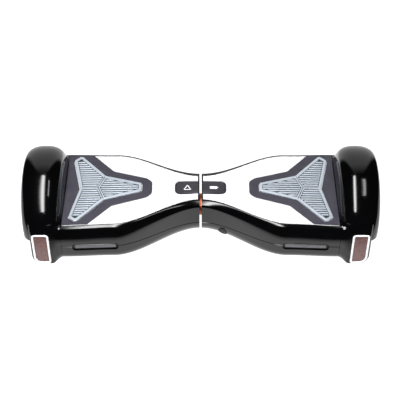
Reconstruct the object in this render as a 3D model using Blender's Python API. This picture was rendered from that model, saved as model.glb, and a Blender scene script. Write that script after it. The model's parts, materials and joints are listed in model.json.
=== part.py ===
"""Self-balancing two-wheel board: two half bodies on a centre pivot, each with its own hub-motor wheel.

Frame: X runs along the board from left wheel to right wheel, -Y is the headlight side, Z is up.
The origin lies on the floor under the middle of the pivot. All lengths are metres.
Every left-hand piece is the mirror image of the right-hand one, so each maker takes a side of +1 or -1.
"""
import math

import bmesh
import bpy
from mathutils import Vector

# ---- fits ------------------------------------------------------------------------------------
CLEARANCE = 0.0003      # gap kept between pieces that touch
WALL = 0.003            # moulded shell wall

# ---- wheel and fender ------------------------------------------------------------------------
AXLE_Z = 0.0825         # a 6.5 inch tyre stands on the floor
TYRE_RADIUS = 0.0825
TYRE_INNER = 0.2430     # tyre side nearest the body
TYRE_OUTER = 0.2830
TYRE_SHOULDER = (0.0120, 0.0100)  # rounding of the tread's sides, across and in radius
RIM_RADIUS = 0.0662
MOTOR_INNER = 0.2447    # open side of the motor housing
MOTOR_OUTER = 0.2813
MOTOR_END_WALL = 0.0030
MOTOR_BORE_RADIUS = 0.0580
MOTOR_EYE_RADIUS = 0.0100
MOTOR_COVER_X = (0.2412, 0.2444)
MOTOR_COVER_RADII = (0.0140, 0.0655)
BEARING_X = (0.2406, 0.2446)
BEARING_RADIUS = 0.0137
CAP_DOME = ((0.2816, 0.0550), (0.2838, 0.0545), (0.2856, 0.0480), (0.2868, 0.0300))
STATOR_X = (0.2480, 0.2760)
STATOR_TOOTH_RADIUS = 0.0560
STATOR_ROOT_RADIUS = 0.0440
STATOR_TEETH = 12
AXLE_START = 0.1920
AXLE_LENGTH = 0.0845
AXLE_RADIUS = 0.0075
WHEEL_X = (TYRE_INNER + TYRE_OUTER) / 2
FENDER_RADIUS = 0.0916
FENDER_OUTER = 0.2925   # outer lip of the fender, the widest point of the board
FENDER_INNER = 0.2275   # fender wall beside the deck
CROWN_X = 0.2620        # highest line of the fender's rounded crown
CROWN_POWER = 2.2       # superellipse power of the crown: 2 is an ellipse, more is squarer
LIP_RADIUS = 0.0740     # the lip hides the top of the tyre down to this radius
WALL_FOOT_RADIUS = 0.0300
LIP_DROP = math.radians(3)        # the lip ends this far below the axle level
TYRE_ROOM = 0.0865      # radius of the wheel well

# ---- body ------------------------------------------------------------------------------------
HALF_SPLIT = 0.0018     # half of the slit between the two halves
BODY_END = 0.2297
DECK_END = 0.2275       # the deck runs up to the fender wall
DECK_Z = 0.1127         # deck height at the middle of the board
DECK_FALL = math.tan(math.radians(1.5))
WAIST = 0.0270          # half depth of the deck at the middle
WAIST_TO_HIP = 0.0510
HIP_X = 0.1450
HIP_TO_END = 0.0030
SHOULDER = 0.0110       # shell shoulder beyond the deck edge
SHOULDER_DROP_WAIST = 0.0100
SHOULDER_DROP_GAIN = 0.0250
BELLY_Z = 0.0310        # flat underside
BELLY_CORNER_WAIST = (0.0320, 0.0345)     # radii of the lower edge at the waist, across and up
BELLY_CORNER_HIP = (0.0140, 0.0180)
PARTING_Z = 0.0660      # joint between upper and lower shell
OVERCUT = 0.0100        # how far a cutter reaches past the surface that it opens
SCREW_WELL = (0.0018, 0.0040)     # depth and radius of the recess for a screw head
SCREW_PASSAGE = (0.0060, 0.0023)
SCREW_HEAD = (0.0015, 0.0037)
SCREW_SHANK = (0.0100, 0.0020)
AXLE_SLOT_HALF = 0.0120           # opening in the end wall that the axle passes
AXLE_SLOT_FOOT = 0.0600
STATIONS = (0.018, 0.036, 0.054, 0.072, 0.090, 0.108, 0.127, 0.150, 0.190)

# ---- deck ------------------------------------------------------------------------------------
MIDDLE_LIP = 0.0016     # shell edge left between the deck plate and the slit
PLATE_THICK = 0.0022
MAT_THICK = 0.0020
PAD_LIFT = 0.0016       # free space under the pad, closed when a foot presses it
PAD_TOP = 0.0040
PAD_GAP = 0.0010        # between the pad and the mat around it
BOSS_X = 0.1760
BOSS_Y = 0.0220
BOSS_RADIUS = 0.0045
BOSS_ROOM_IN_SHELL = 0.0012       # play round each boss
BOSS_ROOM_IN_PLATE = 0.0008
BOSS_FOOT_Z = 0.0940
PANEL_SINK = 0.0002     # the window lies this far below the plate
PANEL_END = 0.0430
PANEL_HALF = 0.0150
PANEL_CORNER = 0.0090

# ---- pivot -----------------------------------------------------------------------------------
PIVOT_Z = 0.0705
SHAFT_RADIUS = 0.0090
SHAFT_BORE = 0.0060
SHAFT_HALF_LENGTH = 0.0580
SLEEVE_RADIUS = 0.0185
SLEEVE_PLAY = 0.0005
SLEEVE_HALF_LENGTH = 0.0115
BUSH_RADIUS = 0.0117
BUSH_START = 0.0130
BUSH_END = 0.0600
HUB_RADIUS = 0.0150
HUB_LENGTH = 0.0480
WEB_HALF = 0.0110       # web that ties the pivot hub to the chassis plate

# ---- chassis ---------------------------------------------------------------------------------
CHASSIS_START = 0.0120
CHASSIS_END = 0.2220
CHASSIS_TOP = AXLE_Z
CHASSIS_THICK = 0.0040
CHASSIS_MARGIN = 0.0080
SEAT_START = 0.1860
SEAT_HALF = 0.0300
SEAT_BOTTOM = 0.0660
CLAMP_X = (0.1900, 0.2180)
CLAMP_HALF = 0.0260
CLAMP_TOP = 0.0960

# ---- lamps -----------------------------------------------------------------------------------
HOUSING_INNER = 0.2300
HOUSING_OUTER = 0.2815
HOUSING_TOP = 0.1138
HOUSING_BOTTOM = 0.0290
HOUSING_BACK = 0.0520
HOUSING_EDGE = 0.0045   # bevel of the column's outer upright edge
COLUMN_INNER = 0.2475   # the face that carries the lamp starts here
COLUMN_FOOT_CORNER = 0.0160       # rounding of the column's lower outer corner
NECK_STEPS = 5          # runs between the body's side and the column
WELL_START = 0.2395
LAMP_INNER = 0.2495
LAMP_OUTER = 0.2780
LAMP_BOTTOM = 0.0310
LAMP_TOP = 0.0950
LAMP_CORNER = 0.0060
LAMP_FOOT_CORNERS = (0.0045, 0.0135)      # inner and outer corner at the lamp's lower end
LAMP_FACE_Y = 0.0908    # depth of the lamp face at LAMP_TOP
LAMP_FACE_LEAN = 0.1125
BEZEL_BAND = 0.0034
POCKET_DEPTH = 0.0033
BEZEL_PROUD = 0.0006    # the bezel and the red lens stand out of the housing by this
SLOT_START = 0.1365
SLOT_END = 0.2120
SLOT_Z = 0.0645
SLOT_HALF_HEIGHT = 0.0078

# ---- electrics -----------------------------------------------------------------------------------
SENSOR_BOARD = ((0.1400, 0.1840), (-0.0340, 0.0340), (0.0862, 0.0880))    # x, y and z ranges
SWITCH_HALF = 0.0060
SWITCH_Z = (0.0875, 0.0920)
MAIN_BOARD = ((0.0700, 0.1750), (-0.0380, 0.0380), (0.0580, 0.0600))
HEAT_SINK = ((0.0780, 0.1280), (-0.0200, 0.0300), (0.0595, 0.0740))
CONNECTOR = ((0.1400, 0.1700), (-0.0320, -0.0220), (0.0595, 0.0690))
CAPACITOR_FOOT = (0.1500, 0.0100, 0.0595)
CAPACITOR_HEIGHT = 0.0150
CAPACITOR_RADIUS = 0.0080
BATTERY = ((0.0680, 0.1800), (-0.0360, 0.0360), (0.0415, 0.0775))
BATTERY_EDGE = 0.0040

# ---- charge port and power button, right half --------------------------------------------------
PORT_X = 0.0375
PORT_Z = 0.0500
PORT_RADIUS = 0.0082
BUTTON_RADIUS = 0.0062

CORNER_STEPS = 4        # straight runs in each rounded corner of the shells
SCREW_PLACES = ((0.0620, -0.0220), (0.0620, 0.0220), (0.2050, -0.0450), (0.2050, 0.0450))

# colour, roughness, metallic
FINISHES = {
    "gloss_black_shell": ((0.010, 0.010, 0.012), 0.12, 0.0),
    "silver_white_plate": ((0.82, 0.83, 0.85), 0.22, 0.0),
    "grey_rubber_mat": ((0.068, 0.064, 0.082), 0.80, 0.0),
    "silver_pad": ((0.52, 0.58, 0.65), 0.38, 0.0),
    "smoked_window": ((0.045, 0.045, 0.052), 0.18, 0.0),
    "cast_aluminium": ((0.60, 0.61, 0.62), 0.45, 1.0),
    "steel": ((0.45, 0.45, 0.47), 0.35, 1.0),
    "bronze": ((0.45, 0.16, 0.06), 0.40, 1.0),
    "tyre_rubber": ((0.020, 0.020, 0.021), 0.85, 0.0),
    "white_bezel": ((0.85, 0.86, 0.88), 0.25, 0.0),
    "headlight_lens": ((0.16, 0.12, 0.12), 0.15, 0.0),
    "red_lens": ((0.30, 0.02, 0.02), 0.15, 0.0),
    "smoked_lamp": ((0.12, 0.12, 0.13), 0.20, 0.0),
    "circuit_board": ((0.02, 0.12, 0.06), 0.55, 0.0),
    "battery_wrap": ((0.05, 0.10, 0.35), 0.45, 0.0),
    "copper_winding": ((0.60, 0.25, 0.12), 0.45, 1.0),
    "soft_black": ((0.03, 0.03, 0.03), 0.60, 0.0),
}


# ---- small geometry helpers --------------------------------------------------------------------
def smoothstep(t):
    """0 to 1 with level ends."""
    t = min(max(t, 0.0), 1.0)
    return t * t * (3 - 2 * t)


def deck_half(x):
    """Half depth of the deck at distance x from the middle: narrow waist, wide foot area."""
    waist_part = WAIST_TO_HIP * smoothstep(x / HIP_X)
    end_part = HIP_TO_END * smoothstep((x - HIP_X) / (DECK_END - HIP_X))
    return WAIST + waist_part + end_part


def body_half(x):
    """Half depth of the shells at distance x from the middle."""
    return deck_half(x) + SHOULDER


def deck_top(x):
    """Height of the deck surface, which falls gently towards each wheel."""
    return DECK_Z - DECK_FALL * x


def shoulder_drop(x):
    """How far the rounded shoulder reaches down the side."""
    return SHOULDER_DROP_WAIST + SHOULDER_DROP_GAIN * smoothstep(x / HIP_X)


def belly_corner(x):
    """Radii of the rounded lower edge, across and up: wide at the waist, tight at the hips."""
    share = smoothstep(x / HIP_X)
    return [waist + (hip - waist) * share for waist, hip in zip(BELLY_CORNER_WAIST, BELLY_CORNER_HIP)]


def arc(centre, radii, start, end, steps, power=2.0):
    """Points on an ellipse or superellipse arc, angles in degrees, both ends included."""
    points = []
    for i in range(steps + 1):
        angle = math.radians(start + (end - start) * i / steps)
        across = math.copysign(abs(math.cos(angle)) ** (2 / power), math.cos(angle))
        up = math.copysign(abs(math.sin(angle)) ** (2 / power), math.sin(angle))
        points.append((centre[0] + radii[0] * across, centre[1] + radii[1] * up))
    return points


def rounded(corners, steps=4):
    """Outline through (x, y, radius) corners, each corner replaced by a fillet arc."""
    outline = []
    count = len(corners)
    for i, (x, y, radius) in enumerate(corners):
        before = corners[i - 1]
        after = corners[(i + 1) % count]
        to_before = math.atan2(before[1] - y, before[0] - x)
        to_after = math.atan2(after[1] - y, after[0] - x)
        turn = (to_after - to_before + math.pi) % (2 * math.pi) - math.pi
        half = abs(turn) / 2
        reach = radius / math.sin(half)
        bisector = to_before + turn / 2
        centre = (x + reach * math.cos(bisector), y + reach * math.sin(bisector))
        sweep = math.copysign(math.pi - abs(turn), turn)
        first = to_before - math.copysign(math.pi / 2, turn)
        for step in range(steps + 1):
            angle = first - sweep * step / steps
            outline.append((centre[0] + radius * math.cos(angle), centre[1] + radius * math.sin(angle)))
    return outline


def offset(outline, distance):
    """Outline moved outwards by a distance (inwards when negative)."""
    area = sum(a[0] * b[1] - b[0] * a[1] for a, b in zip(outline, outline[1:] + outline[:1]))
    sign = math.copysign(1, area)
    moved = []
    for i, point in enumerate(outline):
        before = outline[i - 1]
        after = outline[(i + 1) % len(outline)]
        in_angle = math.atan2(point[1] - before[1], point[0] - before[0])
        out_angle = math.atan2(after[1] - point[1], after[0] - point[0])
        bend = (out_angle - in_angle + math.pi) % (2 * math.pi) - math.pi
        normal = in_angle + bend / 2 - sign * math.pi / 2
        reach = distance / math.cos(bend / 2)
        moved.append((point[0] + reach * math.cos(normal), point[1] + reach * math.sin(normal)))
    return moved


def finish(name):
    """Principled material from the FINISHES table, made once."""
    material = bpy.data.materials.get(name)
    if material is None:
        colour, roughness, metallic = FINISHES[name]
        material = bpy.data.materials.new(name)
        material.use_nodes = True
        shader = material.node_tree.nodes["Principled BSDF"]
        shader.inputs["Base Color"].default_value = (*colour, 1.0)
        shader.inputs["Roughness"].default_value = roughness
        shader.inputs["Metallic"].default_value = metallic
        material.diffuse_color = (*colour, 1.0)
    return material


def add_object(name, vertices, faces, finish_name, side=1, origin=(0, 0, 0)):
    """Closed mesh object; side -1 mirrors it across the middle of the board."""
    origin = (origin[0] * side, origin[1], origin[2])
    mesh = bpy.data.meshes.new(name)
    placed = [(x * side - origin[0], y - origin[1], z - origin[2]) for x, y, z in vertices]
    mesh.from_pydata(placed, [], faces)
    shape = bmesh.new()
    shape.from_mesh(mesh)
    bmesh.ops.recalc_face_normals(shape, faces=shape.faces)
    shape.to_mesh(mesh)
    shape.free()
    mesh.shade_smooth()
    mesh.set_sharp_from_angle(angle=math.radians(35))
    mesh.materials.append(finish(finish_name))
    piece = bpy.data.objects.new(name, mesh)
    piece.location = origin
    bpy.context.scene.collection.objects.link(piece)
    return piece


def loft(rings, closed=False):
    """Vertices and faces of a skin through equal-length rings, capped unless it closes on itself."""
    size = len(rings[0])
    vertices = [point for ring in rings for point in ring]
    faces = []
    spans = len(rings) if closed else len(rings) - 1
    for i in range(spans):
        first = i * size
        second = ((i + 1) % len(rings)) * size
        for j in range(size):
            k = (j + 1) % size
            faces.append((first + j, first + k, second + k, second + j))
    if not closed:
        faces.append(tuple(range(size)))
        faces.append(tuple(range(len(vertices) - size, len(vertices))))
    return vertices, faces


def prism(outline, low, high):
    """Vertical prism; low and high give the height at each x."""
    bottom = [(x, y, low(x)) for x, y in outline]
    top = [(x, y, high(x)) for x, y in outline]
    return loft([bottom, top])


def block(x_range, y_range, z_range):
    """Box from three ranges."""
    corners = [(x_range[0], y_range[0]), (x_range[1], y_range[0]),
               (x_range[1], y_range[1]), (x_range[0], y_range[1])]
    return prism(corners, lambda x: z_range[0], lambda x: z_range[1])


def ring_around_x(profile, centre_z, segments, start=0.0, sweep=2 * math.pi):
    """Body turned about an X-parallel axis at y = 0; profile(index) lists its (x, radius) points."""
    full = sweep > 2 * math.pi - 0.001
    count = segments if full else segments + 1
    rings = []
    for i in range(count):
        angle = start + sweep * i / segments
        ring = [(x, -r * math.cos(angle), centre_z + r * math.sin(angle)) for x, r in profile(i)]
        rings.append(ring)
    return loft(rings, closed=full)


def tube(x_range, radii, centre_z, segments=24):
    """Plain ring with an inner and an outer radius."""
    inner, outer = radii
    section = [(x_range[0], inner), (x_range[0], outer), (x_range[1], outer), (x_range[1], inner)]
    return ring_around_x(lambda i: section, centre_z, segments)


def turned(axis_point, axis, steps, segments=20):
    """Solid turned about an axis; steps are (distance along it, radius)."""
    axis = Vector(axis)
    across = axis.orthogonal().normalized()
    other = axis.cross(across)
    rings = []
    for distance, radius in steps:
        centre = Vector(axis_point) + axis * distance
        angles = [2 * math.pi * i / segments for i in range(segments)]
        rings.append([tuple(centre + radius * (across * math.cos(a) + other * math.sin(a))) for a in angles])
    return loft(rings)


def combine(piece, operation, name, geometry, side=1):
    """Cuts or joins a helper solid with a piece; the helper stays as a wire guide."""
    helper = add_object(name, *geometry, "soft_black", side)
    helper.hide_render = True
    helper.display_type = "WIRE"
    modifier = piece.modifiers.new(name, "BOOLEAN")
    modifier.object = helper
    modifier.operation = operation
    modifier.solver = "EXACT"


def cut(piece, name, geometry, side=1):
    combine(piece, "DIFFERENCE", "cut_" + name, geometry, side)


def join(piece, name, geometry, side=1):
    combine(piece, "UNION", "join_" + name, geometry, side)


# ---- shells ----------------------------------------------------------------------------------
def upper_section(x, side_inset, top_inset, floor_z):
    """Cross-section of the upper body at x, from its open floor over both shoulders."""
    half = body_half(x)
    drop = shoulder_drop(x)
    reach = (SHOULDER - side_inset, drop - top_inset)
    centre_z = deck_top(x) - drop
    front = arc((deck_half(x), centre_z), reach, 0, 90, CORNER_STEPS)
    section = [(half - side_inset, floor_z)] + front
    mirrored = [(-y, z) for y, z in reversed(section)]
    return [(x, y, z) for y, z in section + mirrored]


def lower_section(x, inset, roof_z):
    """Cross-section of the lower body at x, from its open roof round the belly."""
    half = body_half(x)
    across, up = belly_corner(x)
    corner = arc((half - across, BELLY_Z + up), (across - inset, up - inset), 0, -90, CORNER_STEPS)
    section = [(half - inset, roof_z)] + corner
    mirrored = [(-y, z) for y, z in reversed(section)]
    return [(x, y, z) for y, z in section + mirrored]


def body_stations(start, end):
    """Station distances between two ends, the ends included."""
    return [start] + [x for x in STATIONS if start + 0.006 < x < end - 0.006] + [end]


def fender_profile(inset):
    """Open (x, radius) outline of the fender wall: foot, rounded ridge, crown, outer shoulder, lip."""
    ridge_reach = (CROWN_X - FENDER_INNER - inset, FENDER_RADIUS - 2 * WALL_FOOT_RADIUS - inset)
    lip_reach = (FENDER_OUTER - CROWN_X - inset, FENDER_RADIUS - LIP_RADIUS - inset)
    foot = [(FENDER_INNER + inset, WALL_FOOT_RADIUS)]
    ridge = arc((CROWN_X, 2 * WALL_FOOT_RADIUS), ridge_reach, 180, 90, CORNER_STEPS + 1, CROWN_POWER)
    shoulder = arc((CROWN_X, LIP_RADIUS), lip_reach, 90, 0, CORNER_STEPS, CROWN_POWER)
    return foot + ridge + shoulder[1:]


def panel_outline():
    """Outline of one half of the indicator window, open towards the middle of the board."""
    start = HALF_SPLIT + MIDDLE_LIP + CLEARANCE
    end = [(PANEL_END, -PANEL_HALF, PANEL_CORNER), (PANEL_END, PANEL_HALF, PANEL_CORNER)]
    fillets = rounded([(start, -PANEL_HALF, 0.0001)] + end + [(start, PANEL_HALF, 0.0001)])
    return fillets


def slot_outline():
    """Long rounded slot in the side of the body, as (x, z)."""
    corner = SLOT_HALF_HEIGHT * 0.7
    low = SLOT_Z - SLOT_HALF_HEIGHT
    high = SLOT_Z + SLOT_HALF_HEIGHT
    return rounded([(SLOT_START, low, corner), (SLOT_END, low, corner),
                    (SLOT_END, high, corner), (SLOT_START, high, corner)])


def side_panel(outline, outer_inset, inner_inset):
    """Solid behind the front side wall with an (x, z) outline, following the curve of the wall."""
    outer = [(x, -(body_half(x) - outer_inset), z) for x, z in outline]
    inner = [(x, -(body_half(x) - inner_inset), z) for x, z in outline]
    return loft([outer, inner])


def slot_window():
    """Opening for the slot lamp, through the side wall."""
    return side_panel(offset(slot_outline(), CLEARANCE), -0.006, 0.006)


def boss_hole(y, radius):
    """Vertical hole for one pad boss, through plate and shell."""
    return turned((BOSS_X, y, 0.0900), (0, 0, 1), [(0, radius), (0.030, radius)], 16)


def upper_shell(prefix, side):
    floor_z = PARTING_Z + CLEARANCE / 2
    rings = [upper_section(x, 0, 0, floor_z) for x in body_stations(HALF_SPLIT, BODY_END)]
    shell = add_object(prefix + "_upper_shell", *loft(rings), "gloss_black_shell", side)

    section = fender_profile(0) + fender_profile(WALL)[::-1]
    sweep = math.pi + 2 * LIP_DROP
    fender = ring_around_x(lambda i: section, AXLE_Z, 24, -LIP_DROP, sweep)
    join(shell, prefix + "_fender", fender, side)

    roof = PLATE_THICK + CLEARANCE + WALL
    cavity = [upper_section(x, WALL, roof, PARTING_Z - OVERCUT)
              for x in body_stations(HALF_SPLIT + WALL, BODY_END - WALL)]
    cut(shell, prefix + "_upper_cavity", loft(cavity), side)

    recess = deck_outline(CLEARANCE)
    seat = prism(recess, lambda x: deck_top(x) - PLATE_THICK - CLEARANCE, lambda x: deck_top(x) + OVERCUT)
    cut(shell, prefix + "_deck_recess", seat, side)

    for end, sign in (("front", -1), ("rear", 1)):
        near = sorted((sign * (HOUSING_BACK - 0.002), sign * 0.120))
        room = block((HOUSING_INNER, HOUSING_OUTER + CLEARANCE), near, (0.0, HOUSING_TOP))
        cut(shell, f"{prefix}_{end}_housing_room", room, side)
        hole = boss_hole(sign * BOSS_Y, BOSS_RADIUS + BOSS_ROOM_IN_SHELL)
        cut(shell, f"{prefix}_{end}_boss_hole", hole, side)

    slot_top = AXLE_Z + AXLE_SLOT_HALF
    axle_slot = rounded([(-AXLE_SLOT_HALF, AXLE_SLOT_FOOT, 0.001), (AXLE_SLOT_HALF, AXLE_SLOT_FOOT, 0.001),
                         (AXLE_SLOT_HALF, slot_top, 0.0115), (-AXLE_SLOT_HALF, slot_top, 0.0115)])
    near_ring = [(BODY_END - 0.008, y, z) for y, z in axle_slot]
    far_ring = [(BODY_END + 0.008, y, z) for y, z in axle_slot]
    cut(shell, prefix + "_axle_slot", loft([near_ring, far_ring]), side)
    cut(shell, prefix + "_upper_pivot_hole", pivot_hole(), side)
    cut(shell, prefix + "_upper_slot_window", slot_window(), side)


def pivot_hole():
    """Round opening in the middle end walls for the pivot sleeve."""
    radius = SLEEVE_RADIUS + SLEEVE_PLAY
    return turned((-0.001, 0, PIVOT_Z), (1, 0, 0), [(0, radius), (0.010, radius)], 24)


def lower_shell(prefix, side):
    roof_z = PARTING_Z - CLEARANCE / 2
    rings = [lower_section(x, 0, roof_z) for x in body_stations(HALF_SPLIT, BODY_END)]
    shell = add_object(prefix + "_lower_shell", *loft(rings), "gloss_black_shell", side)
    cavity = [lower_section(x, WALL, PARTING_Z + OVERCUT)
              for x in body_stations(HALF_SPLIT + WALL, BODY_END - WALL)]
    cut(shell, prefix + "_lower_cavity", loft(cavity), side)
    cut(shell, prefix + "_lower_pivot_hole", pivot_hole(), side)
    cut(shell, prefix + "_lower_slot_window", slot_window(), side)
    for i, (x, y) in enumerate(SCREW_PLACES):
        well_depth, well_radius = SCREW_WELL
        passage_end, passage_radius = SCREW_PASSAGE
        well = [(-0.002, well_radius), (well_depth, well_radius), (well_depth, passage_radius),
                (passage_end, passage_radius)]
        hole = turned((x, y, BELLY_Z), (0, 0, 1), well, 12)
        cut(shell, f"{prefix}_screw_hole_{i + 1}", hole, side)
    if side > 0:
        for end, sign, radius in (("port", -1, PORT_RADIUS), ("button", 1, BUTTON_RADIUS)):
            point, axis = belly_corner_axis(sign)
            passage = [(-0.008, radius + CLEARANCE), (0.008, radius + CLEARANCE)]
            cut(shell, end + "_hole", turned(point, axis, passage))


def shell_screw(prefix, number, place, side):
    x, y = place
    head_end, head_radius = SCREW_HEAD
    tip, shank_radius = SCREW_SHANK
    steps = [(0.0002, head_radius), (head_end, head_radius), (head_end, shank_radius), (tip, shank_radius)]
    geometry = turned((x, y, BELLY_Z), (0, 0, 1), steps, 12)
    add_object(f"{prefix}_shell_screw_{number}", *geometry, "steel", side)


# ---- deck ------------------------------------------------------------------------------------
def deck_outline(margin):
    """Plan outline of the deck plate, grown by a margin."""
    xs = body_stations(HALF_SPLIT + MIDDLE_LIP - margin, DECK_END + margin)
    right = [(x, deck_half(x) + margin) for x in xs]
    left = [(x, -y) for x, y in reversed(right)]
    return right + left


def deck_plate(prefix, side):
    plate = prism(deck_outline(0), lambda x: deck_top(x) - PLATE_THICK, deck_top)
    piece = add_object(prefix + "_deck_plate", *plate, "silver_white_plate", side)
    notch = [(x if x > 0.006 else 0.0, y) for x, y in offset(panel_outline(), CLEARANCE)]
    opening = prism(notch, lambda x: deck_top(x) - 2 * PLATE_THICK, lambda x: deck_top(x) + PLATE_THICK)
    cut(piece, prefix + "_panel_notch", opening, side)
    for end, sign in (("front", -1), ("rear", 1)):
        hole = boss_hole(sign * BOSS_Y, BOSS_RADIUS + BOSS_ROOM_IN_PLATE)
        cut(piece, f"{prefix}_{end}_plate_hole", hole, side)


def indicator_panel(prefix, side):
    panel = prism(panel_outline(), lambda x: deck_top(x) - PLATE_THICK + CLEARANCE,
                  lambda x: deck_top(x) - PANEL_SINK)
    add_object(prefix + "_indicator_panel", *panel, "smoked_window", side)


def pad_outline():
    """Three-lobed foot pad: one lobe towards the middle, two towards the corners of the wheel end."""
    return rounded([(0.2175, 0.0650, 0.0055), (0.2050, 0.0755, 0.0055), (0.1610, 0.0270, 0.0060),
                    (0.0990, 0.0090, 0.0035), (0.0990, -0.0090, 0.0035), (0.1610, -0.0270, 0.0060),
                    (0.2050, -0.0755, 0.0055), (0.2175, -0.0650, 0.0055), (0.2030, 0.0, 0.0060)], 3)


def mat_outline():
    """Rubber mat from the wheel end of the deck to a blunt rounded nose."""
    end = DECK_END - CLEARANCE
    hip = 0.1850
    rear = [(end, deck_half(end) - CLEARANCE, 0.0010), (hip, deck_half(hip) - CLEARANCE, 0.0040),
            (0.1480, 0.0390, 0.0100), (0.0950, 0.0235, 0.0110), (0.0815, 0.0130, 0.0090)]
    front = [(x, -y, radius) for x, y, radius in reversed(rear)]
    return rounded(rear + front, 3)


def foot_mat(prefix, side):
    mat = prism(mat_outline(), lambda x: deck_top(x) + CLEARANCE, lambda x: deck_top(x) + MAT_THICK)
    piece = add_object(prefix + "_foot_mat", *mat, "grey_rubber_mat", side)
    opening = prism(offset(pad_outline(), PAD_GAP), lambda x: deck_top(x) - MAT_THICK,
                    lambda x: deck_top(x) + 2 * MAT_THICK)
    cut(piece, prefix + "_pad_opening", opening, side)


def foot_pad(prefix, side):
    pad = prism(pad_outline(), lambda x: deck_top(x) + PAD_LIFT, lambda x: deck_top(x) + PAD_TOP)
    origin = (BOSS_X, 0, deck_top(BOSS_X) + PAD_TOP)
    piece = add_object(prefix + "_foot_pad", *pad, "silver_pad", side, origin)
    for end, sign in (("front", -1), ("rear", 1)):
        boss_top = deck_top(BOSS_X) + PAD_LIFT + 0.0012
        steps = [(0, BOSS_RADIUS), (boss_top - BOSS_FOOT_Z, BOSS_RADIUS)]
        boss = turned((BOSS_X, sign * BOSS_Y, BOSS_FOOT_Z), (0, 0, 1), steps, 16)
        join(piece, f"{prefix}_{end}_boss", boss, side)


# ---- chassis and pivot -------------------------------------------------------------------------
def chassis(prefix, side, bore_radius):
    xs = body_stations(CHASSIS_START, CHASSIS_END)
    right = [(x, body_half(x) - CHASSIS_MARGIN) for x in xs]
    outline = right + [(x, -y) for x, y in reversed(right)]
    plate = prism(outline, lambda x: CHASSIS_TOP - CHASSIS_THICK, lambda x: CHASSIS_TOP)
    piece = add_object(prefix + "_chassis", *plate, "cast_aluminium", side)
    hub_steps = [(0, HUB_RADIUS), (HUB_LENGTH, HUB_RADIUS)]
    hub = turned((CHASSIS_START + 0.0002, 0, PIVOT_Z), (1, 0, 0), hub_steps, 24)
    join(piece, prefix + "_pivot_hub", hub, side)
    web_end = CHASSIS_START + HUB_LENGTH - 0.001
    web = block((CHASSIS_START + 0.0004, web_end), (-WEB_HALF, WEB_HALF), (PIVOT_Z, CHASSIS_TOP - 0.001))
    join(piece, prefix + "_pivot_web", web, side)
    seat = block((SEAT_START, CHASSIS_END - 0.0004), (-SEAT_HALF, SEAT_HALF),
                 (SEAT_BOTTOM, CHASSIS_TOP - 0.001))
    join(piece, prefix + "_axle_seat", seat, side)
    bore = turned((0.005, 0, PIVOT_Z), (1, 0, 0), [(0, bore_radius), (0.070, bore_radius)], 24)
    cut(piece, prefix + "_pivot_bore", bore, side)
    groove_radius = AXLE_RADIUS + CLEARANCE
    steps = [(0, groove_radius), (0.045, groove_radius)]
    groove = turned((SEAT_START - 0.004, 0, AXLE_Z), (1, 0, 0), steps)
    cut(piece, prefix + "_axle_groove", groove, side)


def axle_clamp(prefix, side):
    clamp = block(CLAMP_X, (-CLAMP_HALF, CLAMP_HALF), (AXLE_Z + CLEARANCE, CLAMP_TOP))
    piece = add_object(prefix + "_axle_clamp", *clamp, "cast_aluminium", side)
    groove_radius = AXLE_RADIUS + CLEARANCE
    steps = [(0, groove_radius), (0.040, groove_radius)]
    groove = turned((CLAMP_X[0] - 0.005, 0, AXLE_Z), (1, 0, 0), steps)
    cut(piece, prefix + "_clamp_groove", groove, side)


def pivot():
    """Hollow steel shaft fixed in the left chassis, bronze bush in the right one, sleeve between."""
    length = (-SHAFT_HALF_LENGTH, SHAFT_HALF_LENGTH)
    add_object("pivot_shaft", *tube(length, (SHAFT_BORE, SHAFT_RADIUS), PIVOT_Z), "steel")
    sleeve = (-SLEEVE_HALF_LENGTH, SLEEVE_HALF_LENGTH)
    sleeve_radii = (SHAFT_RADIUS + CLEARANCE, SLEEVE_RADIUS)
    add_object("pivot_sleeve", *tube(sleeve, sleeve_radii, PIVOT_Z), "bronze")
    bush_radii = (SHAFT_RADIUS + CLEARANCE, BUSH_RADIUS)
    add_object("pivot_bush", *tube((BUSH_START, BUSH_END), bush_radii, PIVOT_Z), "bronze")


# ---- wheel -----------------------------------------------------------------------------------
def tyre_section():
    """Rounded tyre cross-section as (x, radius)."""
    half = (TYRE_OUTER - TYRE_INNER) / 2
    across, rise = TYRE_SHOULDER
    side_radius = TYRE_RADIUS - rise
    bead = RIM_RADIUS + CLEARANCE
    inner = arc((TYRE_INNER + across, side_radius), TYRE_SHOULDER, 180, 90, 3)
    outer = arc((TYRE_OUTER - across, side_radius), TYRE_SHOULDER, 90, 0, 3)
    foot = half - 0.001
    return [(WHEEL_X - foot, bead)] + inner + outer + [(WHEEL_X + foot, bead)]


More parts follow.
